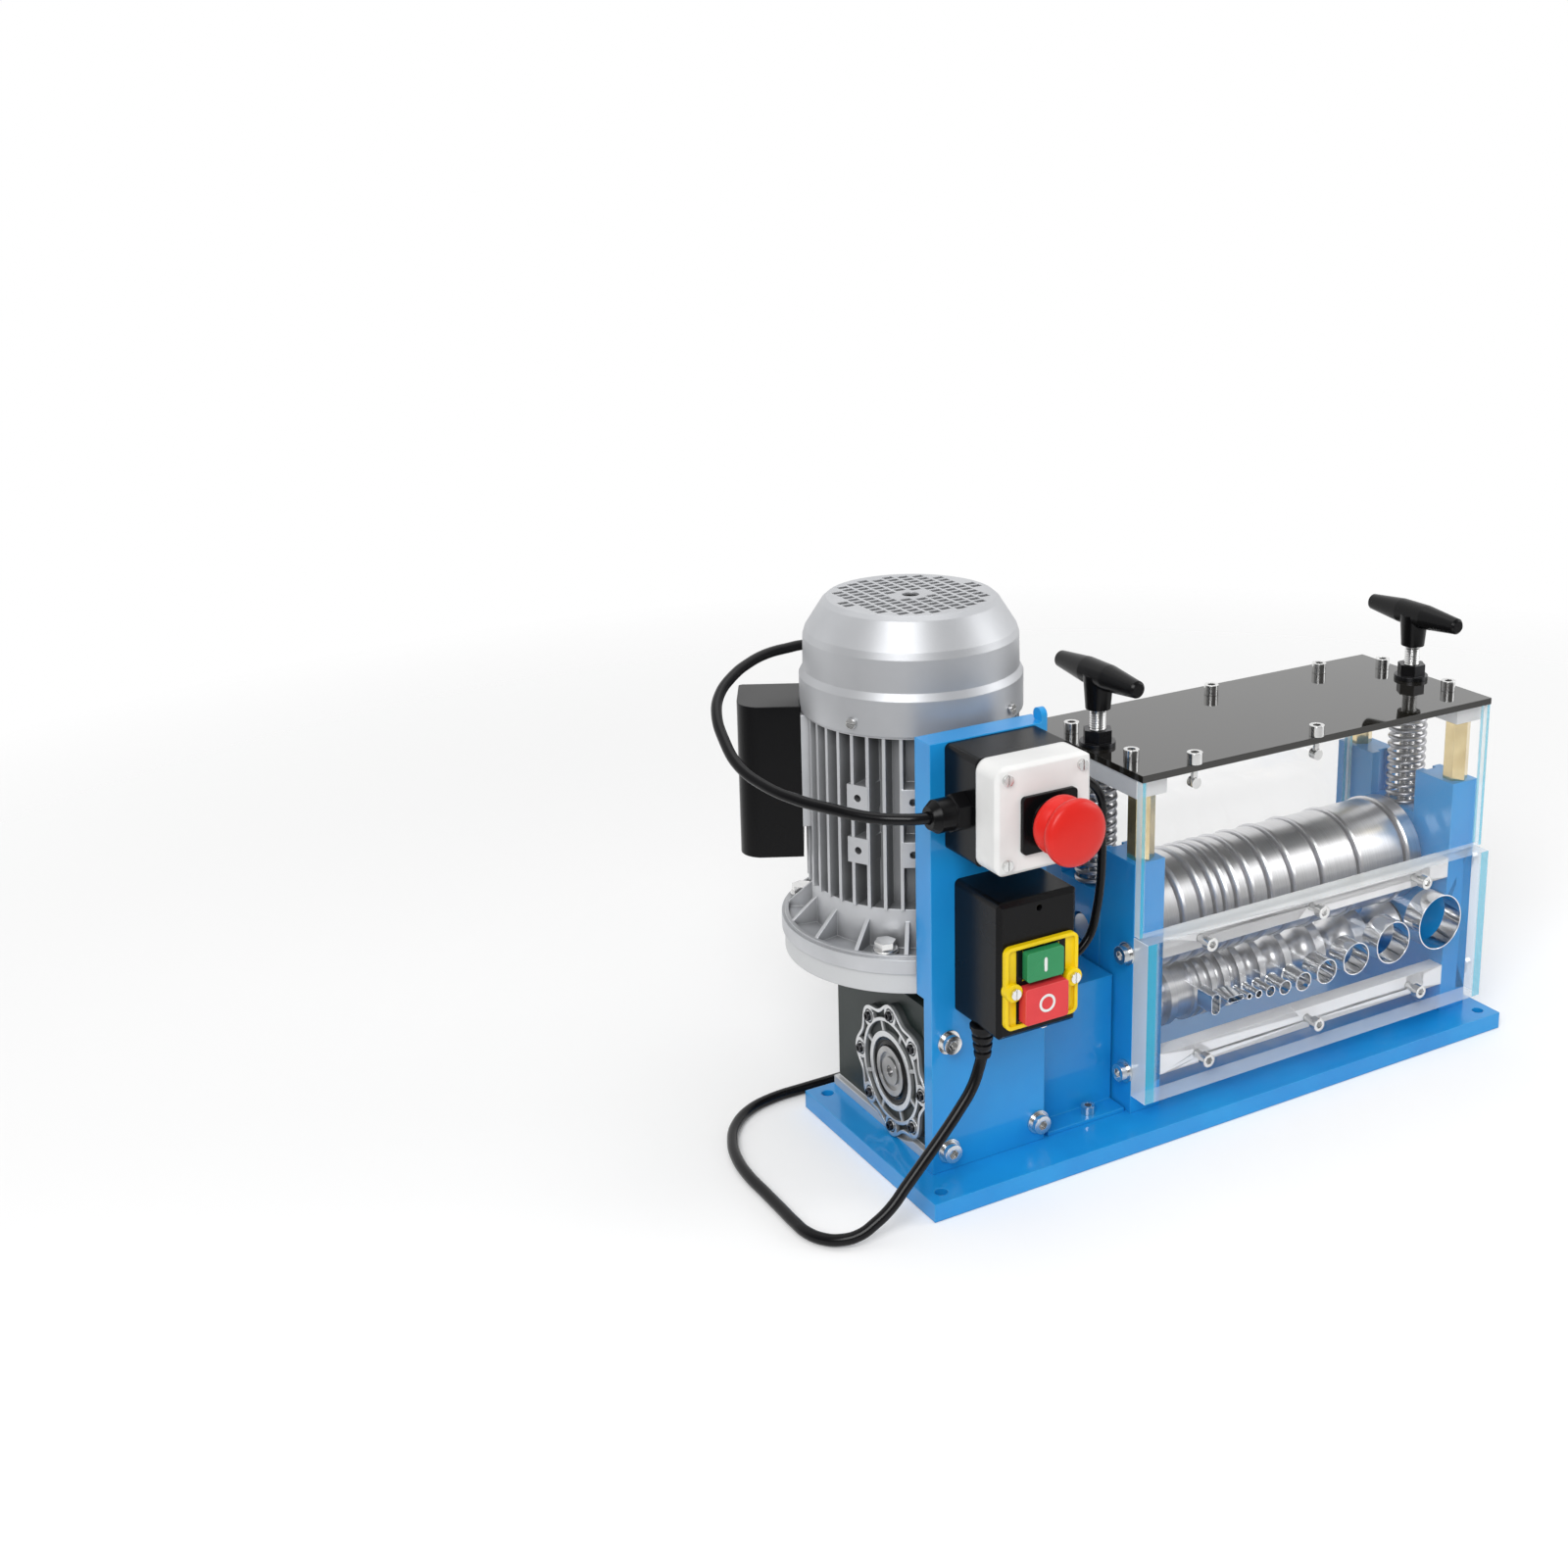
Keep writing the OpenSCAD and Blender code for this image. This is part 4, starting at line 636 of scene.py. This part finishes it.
def keyMarks(s):
    k = s["start"]
    bar = Shape()
    w, h = s["bar"]
    flat = [(-w, -h + w), (-w * 0.7, -h + w * 0.3), (0, -h), (w * 0.7, -h + w * 0.3), (w, -h + w),
            (w, h - w), (w * 0.7, h - w * 0.3), (0, h), (-w * 0.7, h - w * 0.3), (-w, h - w)]
    bar.loops([[spot(s["x"] + u, k["face"] - d, k["z"] + v) for u, v in flat] for d in (0, s["proud"])])
    bar.make("startMark", markWhite, "start_key")
    k = s["stop"]
    ring = Shape()
    outer, inner = s["ring"]
    ring.turn([(inner, 0), (outer, 0), (outer, s["proud"]), (inner, s["proud"])],
              spot(s["x"], k["face"], k["z"]), (0, -1, 0), 48, True)
    ring.make("stopMark", markWhite, "stop_key")


def keyWell(s):  # dark surround with an opening for each key
    w = s["well"]
    shape = Shape()
    lower, upper = [(k["z"] - k["half"][1] - s["room"], k["z"] + k["half"][1] + s["room"],
                     k["half"][0] + s["room"]) for k in (s["stop"], s["start"])]
    bars = [(w["low"], lower[0], None), lower, (lower[1], upper[0], None), upper, (upper[1], w["high"], None)]
    for low, high, gap in bars:
        for u, v in [(-w["half"], w["half"])] if gap is None else [(-w["half"], -gap), (gap, w["half"])]:
            flat = [(u, low + w["seam"]), (v, low + w["seam"]), (v, high), (u, high)]
            shape.loops([[spot(s["x"] + a, w["floor"] - d, b) for a, b in flat] for d in w["rise"]])
    shape.make("keyWell", boxBlack, "frame")


keyMarks(keySet)
keyWell(keySet)
print("controls finished")

gearSet = {
    "y": 92, "z": 50, "face": 20, "seal": (17.9, 23.9), "sealFace": 21.2, "earRadius": 41.5, "ears": 8,
    "bolt": [(3.4, 0.02), (3.4, 1.9), (2.9, 2.4), (1.7, 2.4), (1.7, 0.9), (0.2, 0.9)],
    "web": {"scallop": 43.2, "lobe": 5.8, "rim": 2.4, "bore": 37.6, "steps": 192,
            "front": 20.05, "floor": 24.2, "back": 26.95},
}


def gearTrim(s):
    seal = Shape()
    a, b = s["seal"]
    seal.turn([(a, -4.6), (b, -4.6), (b, 0), (b - 1.2, 0.4), (b - 2.2, -0.4), (a + 1.8, -0.4),
               (a + 0.8, 0.3), (a, 0)], spot(s["sealFace"], s["y"], s["z"]), (-1, 0, 0), 64, True)
    seal.make("shaftSeal", rubber, "frame")
    bolts = Shape()
    for i in range(s["ears"]):
        t = 2 * pi * i / s["ears"]
        place = spot(s["face"], s["y"] + s["earRadius"] * sin(t), s["z"] + s["earRadius"] * cos(t))
        bolts.turn(s["bolt"], place, (-1, 0, 0), 18)
    bolts.make("earBolts", darkOxide, "frame")


def coverWeb(s):  # scalloped rim and pocket floor that tie the cover's ears together
    w = s["web"]
    angles = [2 * pi * k / w["steps"] for k in range(w["steps"])]
    outer = [w["scallop"] + w["lobe"] * (1 + cos(s["ears"] * a)) / 2 for a in angles]
    inner = [r - w["rim"] for r in outer]
    bore = [w["bore"]] * len(angles)
    walls = [(w["back"], outer), (w["front"], outer), (w["front"], inner), (w["floor"], inner),
             (w["floor"], bore), (w["back"], bore)]
    shape = Shape()
    shape.loops([[spot(x, s["y"] + r * sin(a), s["z"] + r * cos(a)) for a, r in zip(angles, radii)]
                 for x, radii in walls], True)
    shape.make("coverWeb", lobes, "frame")


gearTrim(gearSet)
coverWeb(gearSet)

linerSet = {"front": 11.5, "back": 28, "z": 75, "wall": 0.5, "gap": 0.05, "steps": 32,
            "slots": [("flatLiner", 259.1, 15, 5), ("tallLiner", 241.1, 8, 16)]}


def slotLiner(name, x, w, h, s):  # polished sleeve with half round ends
    def outline(inset):
        r = min(w, h) / 2 - inset
        u, v = w / 2 - inset - r, h / 2 - inset - r
        ring = []
        for k in range(s["steps"]):
            a = 2 * pi * (k + 0.5) / s["steps"]
            ring.append((copysign(u, cos(a)) + r * cos(a), copysign(v, sin(a)) + r * sin(a)))
        return ring

    rings = [(s["gap"], s["back"]), (s["gap"], s["front"]), (s["wall"], s["front"]), (s["wall"], s["back"])]
    shape = Shape()
    shape.loops([[spot(x + a, y, s["z"] + b) for a, b in outline(inset)] for inset, y in rings], True)
    shape.make(name, sleeveChrome, "frame")


for slotName, slotX, slotWidth, slotHeight in linerSet["slots"]:
    slotLiner(slotName, slotX, slotWidth, slotHeight, linerSet)

bootSet = {"x": 42, "y": 8, "top": 115, "long": 23, "ribs": 4, "bore": 4.3, "thin": 5.1, "flare": 2.4,
           "collar": (8.6, 2.2), "seat": 0.02}


def cordBoot(s):  # ribbed taper where the mains cord leaves the switch box
    step = s["long"] / s["ribs"]
    wide, thick = s["collar"]
    profile = [(s["bore"], s["long"])]
    for i in range(s["ribs"]):
        h = s["long"] * (1 - i / s["ribs"])
        r = s["thin"] + s["flare"] * (i + 0.5) / s["ribs"]
        profile += [(r, h - 0.1), (r + 0.5, h - step * 0.35), (r + 0.6, h - step * 0.62),
                    (r - 0.3, h - step * 0.72)]
    profile += [(wide, thick), (wide, s["seat"]), (s["bore"], s["seat"])]
    shape = Shape()
    shape.turn(profile[::-1], spot(s["x"], s["y"], s["top"]), (0, 0, -1), 32, True)
    shape.make("cordBoot", rubber, "frame")


cordBoot(bootSet)
print("trim added")

lightSet = [
    {"name": "keyPanel", "place": (-1.7, -1.6, 1.9), "aim": (-0.05, 0, 0.15), "size": 1.5, "power": 54},
    {"name": "sidePanel", "place": (1.9, -1.0, 1.2), "aim": (0, 0, 0.15), "size": 1.2, "power": 14},
    {"name": "topPanel", "place": (0.1, 0.3, 2.2), "aim": (0, 0, 0.1), "size": 1.6, "power": 9},
]
roomSet = {"glow": 0.42, "behind": (0.5365, 0.8439, 0.0), "turn": (-0.5, 0.25), "dark": 0.16}
floorSet = {"pale": (0.90, 0.90, 0.90), "half": 3, "height": -0.0005, "lift": 0.13, "fade": (0.55, 1.5)}


def hangLights(panels):
    for s in panels:
        data = bpy.data.lights.new(s["name"], "AREA")
        data.energy = s["power"]
        data.size = s["size"]
        lamp = bpy.data.objects.new(s["name"], data)
        scene.collection.objects.link(lamp)
        lamp.location = s["place"]
        lamp.rotation_mode = "QUATERNION"
        lamp.rotation_quaternion = (Vector(s["aim"]) - Vector(s["place"])).to_track_quat("-Z", "Y")


def paleFloor(s):  # keeps the shadow near the object and thins out to the white room
    f = Finish("paleFloor", roughness=0.8, specular_ior_level=0.1, emission_strength=s["lift"])
    camera, glossy, through = f.rays()
    away = f.add("ShaderNodeVectorMath", {"operation": "LENGTH"},
                 {0: f.add("ShaderNodeTexCoord", output="Object")}, "Value")
    f.give(base_color=f.tint(f.grain(3, 2), s["pale"], [c * 0.99 for c in s["pale"]]),
           emission_color=f.tint(camera.larger(glossy).larger(through), (0, 0, 0), (1, 1, 1)),
           alpha=f.span(away, *s["fade"], 1, 0))
    h, z = s["half"], s["height"]
    mesh = bpy.data.meshes.new("floor")
    mesh.from_pydata([(-h, -h, z), (h, -h, z), (h, h, z), (-h, h, z)], [], [(0, 1, 2, 3)])
    mesh.materials.append(f.material)
    floor = bpy.data.objects.new("floor", mesh)
    scene.collection.objects.link(floor)


def paleRoom(s):  # white where it is seen, darker towards the front in reflections
    world = bpy.data.worlds.new("paleRoom")
    scene.world = world
    world.use_nodes = True
    b = Board(world.node_tree)
    camera, glossy, through = b.rays()
    ahead = b.add("ShaderNodeVectorMath", {"operation": "DOT_PRODUCT"},
                  {0: b.add("ShaderNodeTexCoord", output="Generated"), 1: s["behind"]}, "Value")
    mirrored = b.span(ahead, *s["turn"], s["dark"], 1)
    seen = camera.larger(through)
    level = seen + (1 - seen) * (glossy * mirrored + (1 - glossy) * s["glow"])
    light = b.add("ShaderNodeBackground", {}, {"Color": (1, 1, 1, 1), "Strength": level})
    b.add("ShaderNodeOutputWorld", {}, {"Surface": light})


hangLights(lightSet)
paleFloor(floorSet)
paleRoom(roomSet)
scene.view_settings.view_transform = "Standard"
print("studio lit")
